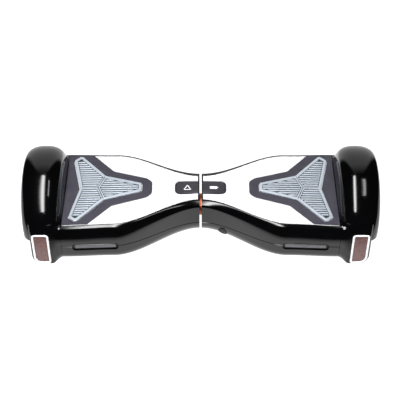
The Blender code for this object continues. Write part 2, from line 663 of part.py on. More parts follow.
def wheel(prefix, side):
    origin = (WHEEL_X, 0, AXLE_Z)
    section = tyre_section()
    tyre = ring_around_x(lambda i: section, AXLE_Z, 44, math.pi / 2)
    add_object(prefix + "_tyre", *tyre, "tyre_rubber", side, origin)

    end_wall = MOTOR_OUTER - MOTOR_END_WALL
    cup = [(MOTOR_INNER, MOTOR_BORE_RADIUS), (MOTOR_INNER, RIM_RADIUS), (MOTOR_OUTER, RIM_RADIUS),
           (MOTOR_OUTER, MOTOR_EYE_RADIUS), (end_wall, MOTOR_EYE_RADIUS), (end_wall, MOTOR_BORE_RADIUS)]
    add_object(prefix + "_motor_housing", *ring_around_x(lambda i: cup, AXLE_Z, 30), "cast_aluminium",
               side, origin)
    cover = tube(MOTOR_COVER_X, MOTOR_COVER_RADII, AXLE_Z, 30)
    add_object(prefix + "_motor_cover", *cover, "cast_aluminium", side, origin)
    bearing = tube(BEARING_X, (AXLE_RADIUS + CLEARANCE, BEARING_RADIUS), AXLE_Z, 24)
    add_object(prefix + "_wheel_bearing", *bearing, "steel", side, origin)
    cap_start = CAP_DOME[0][0]
    cap_steps = [(x - cap_start, radius) for x, radius in CAP_DOME]
    cap = turned((cap_start, 0, AXLE_Z), (1, 0, 0), cap_steps, 30)
    add_object(prefix + "_hub_cap", *cap, "soft_black", side, origin)


def motor_core(prefix, side):
    """The parts of the hub motor that stand still: the axle and the toothed, wound stator."""
    axle = turned((AXLE_START, 0, AXLE_Z), (1, 0, 0), [(0, AXLE_RADIUS), (AXLE_LENGTH, AXLE_RADIUS)])
    add_object(prefix + "_axle", *axle, "steel", side)

    def section(index):
        outer = STATOR_TOOTH_RADIUS if index % 4 < 2 else STATOR_ROOT_RADIUS
        inner = AXLE_RADIUS + CLEARANCE
        near, far = STATOR_X
        return [(near, inner), (near, outer), (far, outer), (far, inner)]

    add_object(prefix + "_stator", *ring_around_x(section, AXLE_Z, 4 * STATOR_TEETH), "copper_winding", side)


# ---- lamps -----------------------------------------------------------------------------------
def lamp_face_y(z):
    """Depth of the lamp face; it leans out towards its foot."""
    return LAMP_FACE_Y + LAMP_FACE_LEAN * (LAMP_TOP - z)


def housing_face_y(z):
    """Depth of the housing front: round like the fender above the lamp, leaning below."""
    if z > LAMP_TOP:
        return math.sqrt(FENDER_RADIUS ** 2 - (z - AXLE_Z) ** 2)
    return lamp_face_y(z)


def body_depth(z):
    """Depth of the body's side at its wheel end, at height z."""
    drop = shoulder_drop(BODY_END)
    across, up = belly_corner(BODY_END)
    above = min(max(z - deck_top(BODY_END) + drop, 0.0) / drop, 1.0)
    below = min(max(BELLY_Z + up - z, 0.0) / up, 1.0)
    shoulder_cut = SHOULDER * (1 - math.sqrt(1 - above ** 2))
    belly_cut = across * (1 - math.sqrt(1 - below ** 2))
    return body_half(BODY_END) - shoulder_cut - belly_cut


def fender_depth(x, z):
    """Depth of the fender's rounded ridge at x and height z."""
    side = (CROWN_X - x) / (CROWN_X - FENDER_INNER)
    rise = (1 - side ** CROWN_POWER) ** (1 / CROWN_POWER)
    radius = 2 * WALL_FOOT_RADIUS + (FENDER_RADIUS - 2 * WALL_FOOT_RADIUS) * rise
    return math.sqrt(radius ** 2 - (z - AXLE_Z) ** 2)


def neck_depth(x, z):
    """Depth of the fairing between the body's side and the lamp column."""
    share = smoothstep((x - BODY_END) / (COLUMN_INNER - BODY_END))
    depth = body_depth(z) + (housing_face_y(z) - body_depth(z)) * share
    above_deck = z - deck_top(BODY_END)
    fade = smoothstep(above_deck / (0.003 + 0.75 * (x - BODY_END)))
    return depth + (fender_depth(x, z) - depth) * fade


def lamp_housing(prefix, end, sign, side):
    """Foot of the fender: a lamp column faired into the body's side, hollowed by the wheel well."""
    rings = []
    heights = (HOUSING_BOTTOM, 0.0305, 0.0335, 0.0380, 0.0450, 0.0700, 0.0850, LAMP_TOP, 0.1020, 0.1060,
               0.1095, HOUSING_TOP - CLEARANCE)
    start = HOUSING_INNER + CLEARANCE
    for z in heights:
        tuck = 0.002 if z == HOUSING_BOTTOM else 0.0
        face = housing_face_y(z) - tuck
        below = max(0.0, HOUSING_BOTTOM + COLUMN_FOOT_CORNER - z) / COLUMN_FOOT_CORNER
        outer = HOUSING_OUTER - COLUMN_FOOT_CORNER * (1 - math.sqrt(1 - below ** 2))
        outline = []
        for i in range(NECK_STEPS + 1):
            x = start + (COLUMN_INNER - start) * i / NECK_STEPS
            outline.append((x, neck_depth(x, z) - tuck))
        outline += [(outer - HOUSING_EDGE, face), (outer - 0.0012, face - 0.0012), (outer, face - HOUSING_EDGE)]
        outline += [(outer, HOUSING_BACK), (start, HOUSING_BACK)]
        rings.append([(x, sign * y, z) for x, y in outline])
    piece = add_object(f"{prefix}_{end}_lamp_housing", *loft(rings), "gloss_black_shell", side)
    well = turned((WELL_START, 0, AXLE_Z), (1, 0, 0), [(0, TYRE_ROOM), (0.060, TYRE_ROOM)], 40)
    cut(piece, f"{prefix}_{end}_wheel_well", well, side)
    pocket = lamp_panel(lamp_outline(CLEARANCE), sign, -0.010, POCKET_DEPTH)
    cut(piece, f"{prefix}_{end}_lamp_pocket", pocket, side)


def lamp_outline(margin):
    """Upright rounded rectangle of the lamp as (x, z), its lower outer corner cut round, grown by a margin."""
    inner_foot, outer_foot = LAMP_FOOT_CORNERS
    corners = [(LAMP_INNER, LAMP_BOTTOM, inner_foot), (LAMP_OUTER, LAMP_BOTTOM, outer_foot),
               (LAMP_OUTER, LAMP_TOP, LAMP_CORNER), (LAMP_INNER, LAMP_TOP, LAMP_CORNER)]
    return offset(rounded(corners), margin)


def lamp_panel(outline, sign, outer_inset, inner_inset):
    """Solid with an (x, z) outline, lying between two depths behind the lamp face."""
    outer = [(x, sign * (lamp_face_y(z) - outer_inset), z) for x, z in outline]
    inner = [(x, sign * (lamp_face_y(z) - inner_inset), z) for x, z in outline]
    return loft([outer, inner])


def headlight(prefix, side):
    bezel = lamp_panel(lamp_outline(0), -1, -BEZEL_PROUD, POCKET_DEPTH - CLEARANCE)
    ring = add_object(prefix + "_headlight_bezel", *bezel, "white_bezel", side)
    cut(ring, prefix + "_bezel_opening", lamp_panel(lamp_outline(-BEZEL_BAND), -1, -0.010, 0.010), side)
    lens = lamp_panel(lamp_outline(-BEZEL_BAND - CLEARANCE), -1, 0.0002, POCKET_DEPTH - CLEARANCE)
    add_object(prefix + "_headlight_lens", *lens, "headlight_lens", side)


def tail_light(prefix, side):
    lens = lamp_panel(lamp_outline(0), 1, -BEZEL_PROUD, POCKET_DEPTH - CLEARANCE)
    add_object(prefix + "_tail_light_lens", *lens, "red_lens", side)


def slot_lamp(prefix, side):
    add_object(prefix + "_slot_lamp", *side_panel(slot_outline(), 0.0012, 0.0052), "smoked_lamp", side)


# ---- electrics ---------------------------------------------------------------------------------
def sensor_board(prefix, side):
    """Tilt sensor board on the chassis with a switch under each pad boss."""
    board = block(*SENSOR_BOARD)
    piece = add_object(prefix + "_sensor_board", *board, "circuit_board", side)
    for end, sign in (("front", -1), ("rear", 1)):
        y_range = sorted((sign * (BOSS_Y - SWITCH_HALF), sign * (BOSS_Y + SWITCH_HALF)))
        switch = block((BOSS_X - SWITCH_HALF, BOSS_X + SWITCH_HALF), y_range, SWITCH_Z)
        join(piece, f"{prefix}_{end}_switch", switch, side)


def main_board():
    """Motor controller in the left half, under the chassis."""
    piece = add_object("main_board", *block(*MAIN_BOARD), "circuit_board", -1)
    join(piece, "heat_sink", block(*HEAT_SINK), -1)
    can = [(0, CAPACITOR_RADIUS), (CAPACITOR_HEIGHT, CAPACITOR_RADIUS)]
    join(piece, "capacitor", turned(CAPACITOR_FOOT, (0, 0, 1), can, 20), -1)
    join(piece, "connector", block(*CONNECTOR), -1)


def battery_pack():
    pack = add_object("battery_pack", *block(*BATTERY), "battery_wrap")
    edge = pack.modifiers.new("rounded_edges", "BEVEL")
    edge.width = BATTERY_EDGE
    edge.segments = 2


def belly_corner_axis(sign):
    """Point on the rounded lower edge at PORT_X and PORT_Z, and the inward normal there."""

    def depth(x):
        across, up = belly_corner(x)
        fall = (BELLY_Z + up - PORT_Z) / up
        return body_half(x) - across + across * math.sqrt(1 - fall ** 2)

    across, up = belly_corner(PORT_X)
    fall = (BELLY_Z + up - PORT_Z) / up
    along = (depth(PORT_X + 0.001) - depth(PORT_X - 0.001)) / 0.002
    down = fall * across / (up * math.sqrt(1 - fall ** 2))
    inward = Vector((along, -sign, down))
    return Vector((PORT_X, sign * depth(PORT_X), PORT_Z)), inward.normalized()


def charge_port():
    """Round socket in the lower front edge with a hinged rubber cap."""
    point, axis = belly_corner_axis(-1)
    socket = turned(point, axis, [(0.0008, PORT_RADIUS), (0.0160, PORT_RADIUS)])
    piece = add_object("charge_socket", *socket, "soft_black")
    cut(piece, "socket_mouth", turned(point, axis, [(-0.004, 0.0058), (0.0110, 0.0058)]))
    up = (Vector((0, 0, 1)) - axis * axis.z).normalized()
    hinge = point + up * (PORT_RADIUS + 0.0009)
    level = up.cross(axis)
    lid = turned(point, axis, [(-0.0013, PORT_RADIUS - 0.0008), (-0.0006, PORT_RADIUS), (0.0004, PORT_RADIUS)])
    cap = add_object("charge_cap", *lid, "soft_black", 1, hinge)
    barrel = turned(hinge - level * 0.0040, level, [(0, 0.0011), (0.0080, 0.0011)], 10)
    join(cap, "cap_barrel", barrel)


def power_button():
    point, axis = belly_corner_axis(1)
    steps = [(-0.0012, BUTTON_RADIUS - 0.0006), (-0.0006, BUTTON_RADIUS), (0.0070, BUTTON_RADIUS)]
    add_object("power_button", *turned(point, axis, steps), "steel", 1, point)


# ---- assembly ----------------------------------------------------------------------------------
def clear_scene():
    for item in list(bpy.data.objects):
        bpy.data.objects.remove(item, do_unlink=True)


def half_body(prefix, side):
    upper_shell(prefix, side)
    lower_shell(prefix, side)
    for i, place in enumerate(SCREW_PLACES):
        shell_screw(prefix, i + 1, place, side)
    deck_plate(prefix, side)
    indicator_panel(prefix, side)
    foot_mat(prefix, side)
    foot_pad(prefix, side)
    chassis(prefix, side, SHAFT_RADIUS + CLEARANCE if side < 0 else BUSH_RADIUS + CLEARANCE)
    axle_clamp(prefix, side)
    motor_core(prefix, side)
    wheel(prefix, side)
    lamp_housing(prefix, "front", -1, side)
    lamp_housing(prefix, "rear", 1, side)
    headlight(prefix, side)
    tail_light(prefix, side)
    slot_lamp(prefix, side)
    sensor_board(prefix, side)


def build():
    clear_scene()
    half_body("left", -1)
    half_body("right", 1)
    pivot()
    main_board()
    battery_pack()
    charge_port()
    power_button()


build()
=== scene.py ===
import json
import math

import bmesh
import bpy
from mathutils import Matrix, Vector

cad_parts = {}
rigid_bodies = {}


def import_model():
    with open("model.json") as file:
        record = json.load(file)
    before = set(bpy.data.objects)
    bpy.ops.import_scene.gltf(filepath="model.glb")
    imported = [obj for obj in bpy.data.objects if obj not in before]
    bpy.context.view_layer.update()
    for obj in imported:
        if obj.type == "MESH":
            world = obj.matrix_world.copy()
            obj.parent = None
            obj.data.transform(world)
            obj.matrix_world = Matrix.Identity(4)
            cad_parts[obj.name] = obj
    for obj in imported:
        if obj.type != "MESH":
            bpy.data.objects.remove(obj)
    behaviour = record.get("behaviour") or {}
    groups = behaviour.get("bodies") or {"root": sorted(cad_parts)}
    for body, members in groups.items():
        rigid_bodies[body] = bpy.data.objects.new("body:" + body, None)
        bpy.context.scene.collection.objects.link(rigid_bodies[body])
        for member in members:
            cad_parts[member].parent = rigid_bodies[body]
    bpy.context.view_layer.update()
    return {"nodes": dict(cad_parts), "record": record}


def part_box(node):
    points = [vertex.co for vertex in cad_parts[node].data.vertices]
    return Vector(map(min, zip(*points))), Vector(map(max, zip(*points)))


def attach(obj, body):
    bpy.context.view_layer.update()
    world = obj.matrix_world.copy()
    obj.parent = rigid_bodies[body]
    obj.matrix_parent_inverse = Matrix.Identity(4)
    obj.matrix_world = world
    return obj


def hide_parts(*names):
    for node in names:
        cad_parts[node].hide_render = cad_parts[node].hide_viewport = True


# the start-up scene's own objects
for leftover in list(bpy.data.objects):
    bpy.data.objects.remove(leftover, do_unlink=True)
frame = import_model()

# ---- sizes read from the frame ----
TYRE_LOW, TYRE_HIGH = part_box("right_tyre")
AXLE_Z = (TYRE_LOW.z + TYRE_HIGH.z) / 2
TYRE_RADIUS = (TYRE_HIGH.z - TYRE_LOW.z) / 2
WHEEL_X = (TYRE_LOW.x + TYRE_HIGH.x) / 2
SHELL_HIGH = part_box("right_upper_shell")[1]
FENDER_OUTER = SHELL_HIGH.x
FENDER_RADIUS = SHELL_HIGH.z - AXLE_Z
BELLY_LOW, BELLY_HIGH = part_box("right_lower_shell")
HALF_SPLIT = BELLY_LOW.x
BODY_END = BELLY_HIGH.x
BELLY_Z = BELLY_LOW.z
DECK_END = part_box("right_deck_plate")[1].x
HOUSING_LOW, HOUSING_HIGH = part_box("right_front_lamp_housing")
SLOT_LOW, SLOT_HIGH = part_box("right_slot_lamp")
RIM_LOW, RIM_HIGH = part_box("right_motor_housing")
CAP_LOW, CAP_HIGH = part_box("right_hub_cap")
PANEL_LOW, PANEL_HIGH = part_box("right_indicator_panel")
SLEEVE_LOW, SLEEVE_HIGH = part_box("pivot_sleeve")
SHAFT_LOW, SHAFT_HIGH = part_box("pivot_shaft")

# ---- the design's own dimensions, in metres ----
CLEARANCE = 0.0003
WALL = 0.003
DECK_Z = 0.1127
DECK_FALL = math.tan(math.radians(1.5))
WAIST = 0.0270
WAIST_TO_HIP = 0.0510
HIP_X = 0.1450
HIP_TO_END = 0.0030
SHOULDER = 0.0110
SHOULDER_DROP_WAIST = 0.0100
SHOULDER_DROP_GAIN = 0.0250
BELLY_CORNER_WAIST = (0.0320, 0.0345)
BELLY_CORNER_HIP = (0.0140, 0.0180)
PARTING_Z = 0.0660
PARTING_CHAMFERS = (0.0008, 0.0003)   # on the upper shell's edge and on the lower shell's

FENDER_INNER = 0.2275
CROWN_X = 0.2620
CROWN_POWER = 2.2
RIDGE_POWER = 2.55       # on the deck side of the crown
LIP_RADIUS = 0.0740
WALL_FOOT_RADIUS = 0.0300
LIP_DROP = math.radians(3)
TYRE_ROOM = 0.0865
LIP_EDGE = 0.0010        # reach of the rounded lip edge below the lip

MIDDLE_LIP = 0.0016      # black edge between the plate and the middle of the board
PLATE_THICK = 0.0022
PLATE_SEAM = 0.0009      # dark seam round the plate
MAT_THICK = 0.0020
MAT_EDGE = 0.0007
MAT_HIP = 0.1850
MAT_NOSE = [(0.1480, 0.0390, 0.0100), (0.0905, 0.0213, 0.0170), (0.0815, 0.0130, 0.0105)]
MAT_PAD_GAP = 0.0010

PAD_LIFT = 0.0016        # underside and top, above the deck's surface
PAD_TOP = 0.0040
PAD_EDGE = 0.0009
PAD_POCKET = 0.0010
PAD_RIM = 0.0048
PAD_DIVIDER = 0.0025     # half width of the web between two pockets
PAD_CORNERS = ((0.2175, 0.0650), (0.2050, 0.0755), (0.1610, 0.0270), (0.0990, 0.0090))
PAD_RADII = (0.0055, 0.0055, 0.0060, 0.0035)
PAD_NOTCH = (0.2030, 0.0)
PAD_NOTCH_RADIUS = 0.0060
PAD_JUNCTION = (0.1725, 0.0)
WEB_ENDS = ((0.2010, 0.0), (0.1622, 0.0250), (0.1622, -0.0250))
RIB_PITCH = 0.0049
RIB_WIDTH = 0.0029
RIB_GAP = 0.0009
RIB_EDGE = 0.0006
RIB_SHORTEST = 0.0040

PANEL_CORNER = 0.0090
PANEL_RIM = 0.0024
ICON_X = 0.0222
ICON_HEIGHTS = (-0.0006, -0.00008)    # above the deck's surface

BOSS_X = 0.1760          # guide bosses under the pad
BOSS_Y = 0.0220
BOSS_RADIUS = 0.0045
BOSS_FOOT_Z = 0.0940
BOSS_HOLE_Z = 0.0900
BOSS_HOLE_LENGTH = 0.0300
SHELL_BOSS_PLAY = 0.0012
PLATE_BOSS_PLAY = 0.0008
PIVOT_PLAY = 0.0005
PIVOT_Z = (SLEEVE_LOW.z + SLEEVE_HIGH.z) / 2
SLEEVE_RADIUS = (SLEEVE_HIGH.z - SLEEVE_LOW.z) / 2

HOUSING_TOP = 0.1138
COLUMN_INNER = 0.2475
COLUMN_FOOT_CORNER = 0.0160
COLUMN_FOOT_EDGE = 0.0030
COLUMN_FACE_CORNER = 0.0050
WELL_START = 0.2395
WELL_LENGTH = 0.0600
HOUSING_BACK = 0.0520
HOUSING_ROOM = 0.1200    # depth of the cut for the lamp column
LAMP_INNER = 0.2495
LAMP_OUTER = 0.2780
LAMP_BOTTOM = 0.0310
LAMP_TOP = 0.0950
LAMP_CORNER = 0.0060
LAMP_FOOT_CORNERS = (0.0045, 0.0135)
LAMP_FACE_Y = 0.0908
LAMP_FACE_LEAN = 0.1125
BROW_HEIGHT = 0.0060     # over which the lamp face eases into the fender
NECK_RISE = 0.0030       # height over which the fairing turns into the fender, and its gain with x
NECK_SLOPE = 0.75
BEZEL_BAND = 0.0034
POCKET_DEPTH = 0.0033
LAMP_BACK = POCKET_DEPTH - CLEARANCE
SLOT_CUT = 0.0060        # each way from the wall
SLOT_TRAY = (0.0034, 0.0052)    # depths of the slot lamp's tray behind the wall
SLOT_BAR_MARGIN = 0.0036

PORT_X = 0.0375
PORT_Z = 0.0500
PORT_RADIUS = 0.0082
BUTTON_RADIUS = 0.0062
HINGE_GAP = 0.0009
AXLE_SLOT_HALF = 0.0120
AXLE_SLOT_FOOT = 0.0600
BELLY_GROOVES_X = (0.090, 0.102, 0.114, 0.126, 0.138, 0.150)
BELLY_GROOVE_HALF = (0.0015, 0.0300)
BELLY_GROOVE_DEPTH = 0.0010
SCREW_PLACES = ((0.0620, -0.0220), (0.0620, 0.0220), (0.2050, -0.0450), (0.2050, 0.0450))

TYRE_SHOULDER = (0.0120, 0.0100)
SIPE_DEPTH = 0.0016      # and of the running grooves
SIPE_START = 0.0020      # above the foot of the shoulder
SIPE_RISE = 0.0060
TREAD_PITCH = 0.0058
HUB_POCKET = 0.0011

BODY_STEPS = 52         # stations along each half body
CAVITY_STEPS = 24
NECK_STEPS = 16
FOOT_STEPS = 5
COLUMN_STEPS = 48
CORNER_STEPS = 14       # points round each rounded shell corner
FENDER_STEPS = 84
ROUND = 64              # sides of a smooth round piece
SMALL_ROUND = 32
WHEEL_ROUND = 96
WELL_ROUND = 128
CAP_ROUND = 180
TYRE_ROUND = 240
REACH = 0.010           # how far a cutting solid passes the surface
TINY_EDGE = 0.00001     # shorter ones left by a Boolean are dissolved
SHARP = 35              # degrees: a mesh edge that turns more than this stays sharp
SHELL_SHARP = 28
COLUMN_SHARP = 32
DECK_SHARP = 30


# ---- curves and outlines ----
def smoothstep(t):
    t = min(max(t, 0.0), 1.0)
    return t * t * (3 - 2 * t)


def quarter_drop(share):
    """Fall of a unit quarter circle at a share of its radius, from 0 to 1."""
    return 1 - math.sqrt(1 - min(max(share, 0.0), 1.0) ** 2)


def deck_half(x):
    """Half depth of the deck at distance x from the middle."""
    waist_part = WAIST_TO_HIP * smoothstep(x / HIP_X)
    end_part = HIP_TO_END * smoothstep((x - HIP_X) / (DECK_END - HIP_X))
    return WAIST + waist_part + end_part


def body_half(x):
    return deck_half(x) + SHOULDER


def deck_top(x):
    return DECK_Z - DECK_FALL * x


def on_deck(height):
    """Height above the deck's surface as a function of x, the same on both halves."""
    return lambda x: deck_top(abs(x)) + height


def shoulder_drop(x):
    return SHOULDER_DROP_WAIST + SHOULDER_DROP_GAIN * smoothstep(x / HIP_X)


def belly_corner(x):
    """Radii of the rounded lower edge, across and up."""
    share = smoothstep(x / HIP_X)
    return [waist + (hip - waist) * share for waist, hip in zip(BELLY_CORNER_WAIST, BELLY_CORNER_HIP)]


def arc(centre, radii, start, end, steps, power=2.0):
    """Points on an ellipse or superellipse arc, angles in degrees, both ends included."""
    points = []
    for i in range(steps + 1):
        angle = math.radians(start + (end - start) * i / steps)
        across = math.copysign(abs(math.cos(angle)) ** (2 / power), math.cos(angle))
        up = math.copysign(abs(math.sin(angle)) ** (2 / power), math.sin(angle))
        points.append((centre[0] + radii[0] * across, centre[1] + radii[1] * up))
    return points


def rounded(corners, steps=6):
    """Outline through (x, y, radius) corners, each corner replaced by a fillet arc."""
    outline = []
    for i, (x, y, radius) in enumerate(corners):
        before = corners[i - 1]
        after = corners[(i + 1) % len(corners)]
        to_before = math.atan2(before[1] - y, before[0] - x)
        to_after = math.atan2(after[1] - y, after[0] - x)
        turn = (to_after - to_before + math.pi) % (2 * math.pi) - math.pi
        reach = radius / math.sin(abs(turn) / 2)
        bisector = to_before + turn / 2
        centre = (x + reach * math.cos(bisector), y + reach * math.sin(bisector))
        sweep = math.copysign(math.pi - abs(turn), turn)
        first = to_before - math.copysign(math.pi / 2, turn)
        for step in range(steps + 1):
            angle = first - sweep * step / steps
            outline.append((centre[0] + radius * math.cos(angle), centre[1] + radius * math.sin(angle)))
    return outline


def rounded_box(low, high, radius):
    """Outline of a rectangle between two (x, y) corners."""
    corners = (low, (high[0], low[1]), high, (low[0], high[1]))
    return rounded([(*corner, radius) for corner in corners])


def winding(outline):
    """1 for an anticlockwise outline, -1 for a clockwise one."""
    area = sum(a[0] * b[1] - b[0] * a[1] for a, b in zip(outline, outline[1:] + outline[:1]))
    return math.copysign(1, area)


def offset(outline, distance):
    """Outline moved outwards by a distance (inwards when negative)."""
    sign = winding(outline)
    moved = []
    for i, point in enumerate(outline):
        before = outline[i - 1]
        after = outline[(i + 1) % len(outline)]
        in_angle = math.atan2(point[1] - before[1], point[0] - before[0])
        out_angle = math.atan2(after[1] - point[1], after[0] - point[0])
        bend = (out_angle - in_angle + math.pi) % (2 * math.pi) - math.pi
        normal = in_angle + bend / 2 - sign * math.pi / 2
        reach = distance / math.cos(bend / 2)
        moved.append((point[0] + reach * math.cos(normal), point[1] + reach * math.sin(normal)))
    return moved


# ---- meshes ----
def loft(rings, closed=False):
    """Vertices and faces of a skin through equal-length rings, capped unless it closes on itself."""
    size = len(rings[0])
    vertices = [point for ring in rings for point in ring]
    faces = []
    spans = len(rings) if closed else len(rings) - 1
    for i in range(spans):
        first = i * size
        second = ((i + 1) % len(rings)) * size
        for j in range(size):
            k = (j + 1) % size
            faces.append((first + j, first + k, second + k, second + j))
    if not closed:
        faces.append(tuple(range(size)))
        faces.append(tuple(range(len(vertices) - size, len(vertices))))
    return vertices, faces


def merged(*shapes):
    """Several closed shapes as one geometry."""
    vertices, faces = [], []
    for points, polygons in shapes:
        base = len(vertices)
        vertices += points
        faces += [tuple(base + i for i in polygon) for polygon in polygons]
    return vertices, faces


def add_object(name, data):
    thing = bpy.data.objects.new(name, data)
    bpy.context.scene.collection.objects.link(thing)
    return thing


def tidy_mesh(mesh, sharp, clean):
    """Runs one clean-up on the mesh and shades it smooth between its sharp edges."""
    shape = bmesh.new()
    shape.from_mesh(mesh)
    clean(shape)
    shape.to_mesh(mesh)
    shape.free()
    mesh.shade_smooth()
    mesh.set_sharp_from_angle(angle=math.radians(sharp))


def mesh_object(name, geometry, sharp=SHARP):
    mesh = bpy.data.meshes.new(name)
    mesh.from_pydata(geometry[0], [], geometry[1])
    tidy_mesh(mesh, sharp, lambda shape: bmesh.ops.recalc_face_normals(shape, faces=shape.faces))
    return add_object(name, mesh)


def slab(outline, low, high, edge):
    """Prism with a rounded upper edge; low and high give the height at each x."""
    rings = [[(x, y, low(x)) for x, y in outline], [(x, y, high(x) - edge) for x, y in outline]]
    for share in (0.35, 0.7, 1.0):
        inset = edge * (1 - math.sqrt(1 - share ** 2))
        rings.append([(x, y, high(x0) - edge + edge * share)
                      for (x, y), (x0, _) in zip(offset(outline, -inset), outline)])
    return loft(rings)


def stack(outline, steps, point_at):
    """Solid through offset outlines; steps are (margin, level), and point_at makes them 3-D."""
    return loft([[point_at(a, b, level) for a, b in offset(outline, margin)] for margin, level in steps])


def above_deck(x, y, height):
    return x, y, deck_top(x) + height


def behind_wall(x, z, inset):
    """Point behind the body's front wall, following the curve of the wall."""
    return x, -(body_half(x) - inset), z


def prism(outline, low, high):
    """Solid between two heights, each given as a function of x."""
    return loft([[(x, y, low(x)) for x, y in outline], [(x, y, high(x)) for x, y in outline]])


def block(x_range, y_range, z_range):
    (x0, x1), (y0, y1) = x_range, y_range
    corners = [(x0, y0), (x1, y0), (x1, y1), (x0, y1)]
    return prism(corners, lambda x: z_range[0], lambda x: z_range[1])


def ring_around_x(profile, centre_z, segments, start=0.0, sweep=2 * math.pi):
    """Body turned about an X-parallel axis at y = 0; profile(index) lists its (x, radius) points."""
    full = sweep > 2 * math.pi - 0.001
    rings = []
    for i in range(segments if full else segments + 1):
        angle = start + sweep * i / segments
        rings.append([(x, -r * math.cos(angle), centre_z + r * math.sin(angle)) for x, r in profile(i)])
    return loft(rings, closed=full)


def turned(axis_point, axis, steps, segments=ROUND):
    """Solid turned about an axis; steps are (distance along it, radius)."""
    axis = Vector(axis)
    across = axis.orthogonal().normalized()
    other = axis.cross(across)
    rings = []
    for distance, radius in steps:
        centre = Vector(axis_point) + axis * distance
        angles = [2 * math.pi * i / segments for i in range(segments)]
        rings.append([tuple(centre + radius * (across * math.cos(a) + other * math.sin(a))) for a in angles])
    return loft(rings)


def carve(piece, geometry, operation="DIFFERENCE"):
    """Queues a Boolean with a helper solid; settle() applies the queue."""
    helper = mesh_object(piece.name + "_helper", geometry)
    modifier = piece.modifiers.new("carve", "BOOLEAN")
    modifier.object = helper
    modifier.operation = operation
    modifier.solver = "EXACT"


def settle(piece, sharp=SHARP):
    """Applies a piece's modifiers and removes the helper solids."""
    helpers = [m.object for m in piece.modifiers if m.type == "BOOLEAN"]
    bpy.context.view_layer.update()
    seen = piece.evaluated_get(bpy.context.evaluated_depsgraph_get())
    mesh = bpy.data.meshes.new_from_object(seen)
    piece.modifiers.clear()
    piece.data = mesh
    for helper in helpers:
        bpy.data.objects.remove(helper, do_unlink=True)
    tidy_mesh(mesh, sharp, lambda shape: bmesh.ops.dissolve_degenerate(
        shape, dist=TINY_EDGE, edges=shape.edges))
    return piece


def mirrored(piece, name):
    """Mirror image of a piece across the middle of the board."""
    mesh = piece.data.copy()
    mesh.name = name
    for vertex in mesh.vertices:
        vertex.co.x = -vertex.co.x
    mesh.flip_normals()
    mesh.set_sharp_from_angle(angle=math.radians(SHARP))
    return add_object(name, mesh)


# ---- materials ----
def add_node(tree, kind, **values):
    node = tree.nodes.new(kind)
    for key, value in values.items():
        if key in node.inputs:
            node.inputs[key].default_value = value
        else:
            setattr(node, key, value)
    return node


def add_ramp(tree, factor, stops, blend="LINEAR"):
    """Colour ramp on a socket; a stop's colour may be one grey level."""
    node = add_node(tree, "ShaderNodeValToRGB")
    node.color_ramp.interpolation = blend
    elements = node.color_ramp.elements
    while len(elements) < len(stops):
        elements.new(0.5)
    for element, (position, colour) in zip(elements, stops):
        element.position = position
        value = colour if isinstance(colour, tuple) else (colour, colour, colour)
        element.color = (*value, 1.0)
    tree.links.new(factor, node.inputs["Fac"])
    return node.outputs["Color"]


def map_range(tree, value, span, result):
    """A socket's value taken from a span to a result range, and held at both ends."""
    node = add_node(tree, "ShaderNodeMapRange")
    for socket, number in zip(("From Min", "From Max", "To Min", "To Max"), (*span, *result)):
        node.inputs[socket].default_value = number
    tree.links.new(value, node.inputs["Value"])
    return node.outputs["Result"]


class Surface:
    """A Principled material whose colour, roughness and bump come from procedural nodes."""

    def __init__(self, name, **sockets):
        self.material = bpy.data.materials.new(name)
        self.material.use_nodes = True
        self.tree = self.material.node_tree
        self.shader = self.tree.nodes["Principled BSDF"]
        for socket, value in sockets.items():
            self.shader.inputs[socket.replace("_", " ")].default_value = value
        self.place = add_node(self.tree, "ShaderNodeTexCoord").outputs["Object"]

    def stretched(self, scale):
        mapping = add_node(self.tree, "ShaderNodeMapping", Scale=scale)
        self.tree.links.new(self.place, mapping.inputs["Vector"])
        return mapping.outputs["Vector"]

    def noise(self, scale, detail=4.0, vector=None):
        node = add_node(self.tree, "ShaderNodeTexNoise", Scale=scale, Detail=detail)
        self.tree.links.new(vector or self.place, node.inputs["Vector"])
        return node.outputs["Fac"]

    def cells(self, scale, feature="F1", vector=None):
        node = add_node(self.tree, "ShaderNodeTexVoronoi", Scale=scale, feature=feature)
        self.tree.links.new(vector or self.place, node.inputs["Vector"])
        return node.outputs["Distance"]

    def colour(self, factor, stops, socket="Base Color"):
        self.tree.links.new(add_ramp(self.tree, factor, stops), self.shader.inputs[socket])

    def roughness(self, factor, stops):
        self.colour(factor, stops, "Roughness")

    def bump(self, height, strength, distance):
        node = add_node(self.tree, "ShaderNodeBump", Strength=strength, Distance=distance)
        self.tree.links.new(height, node.inputs["Height"])
        self.tree.links.new(node.outputs["Normal"], self.shader.inputs["Normal"])


def gloss_shell(name, tint):
    """Polished black moulding: faint orange peel, smears and fine handling scratches."""
    surface = Surface(name, Specular_IOR_Level=0.5)
    smears = surface.noise(9.0, 6.0)
    surface.colour(smears, [(0.35, tint), (0.75, tuple(2.2 * c for c in tint))])
    scratches = surface.noise(260.0, 3.0, surface.stretched((1.0, 7.0, 3.0)))
    surface.roughness(scratches, [(0.40, 0.08), (0.78, 0.16)])
    surface.bump(surface.noise(420.0, 2.0), 0.03, 0.0002)
    return surface.material


def pearl_plate(name):
    """Silver-white painted plate: fine metallic flake under lacquer."""
    surface = Surface(name, Metallic=0.1, Coat_Weight=0.35, Coat_Roughness=0.12)
    flake = surface.cells(5200.0)
    surface.colour(flake, [(0.05, (0.95, 0.955, 0.965)), (0.75, (0.86, 0.87, 0.885))])
    surface.roughness(surface.noise(55.0, 5.0), [(0.3, 0.24), (0.8, 0.36)])
    surface.bump(surface.noise(1500.0, 2.0), 0.05, 0.0001)
    return surface.material


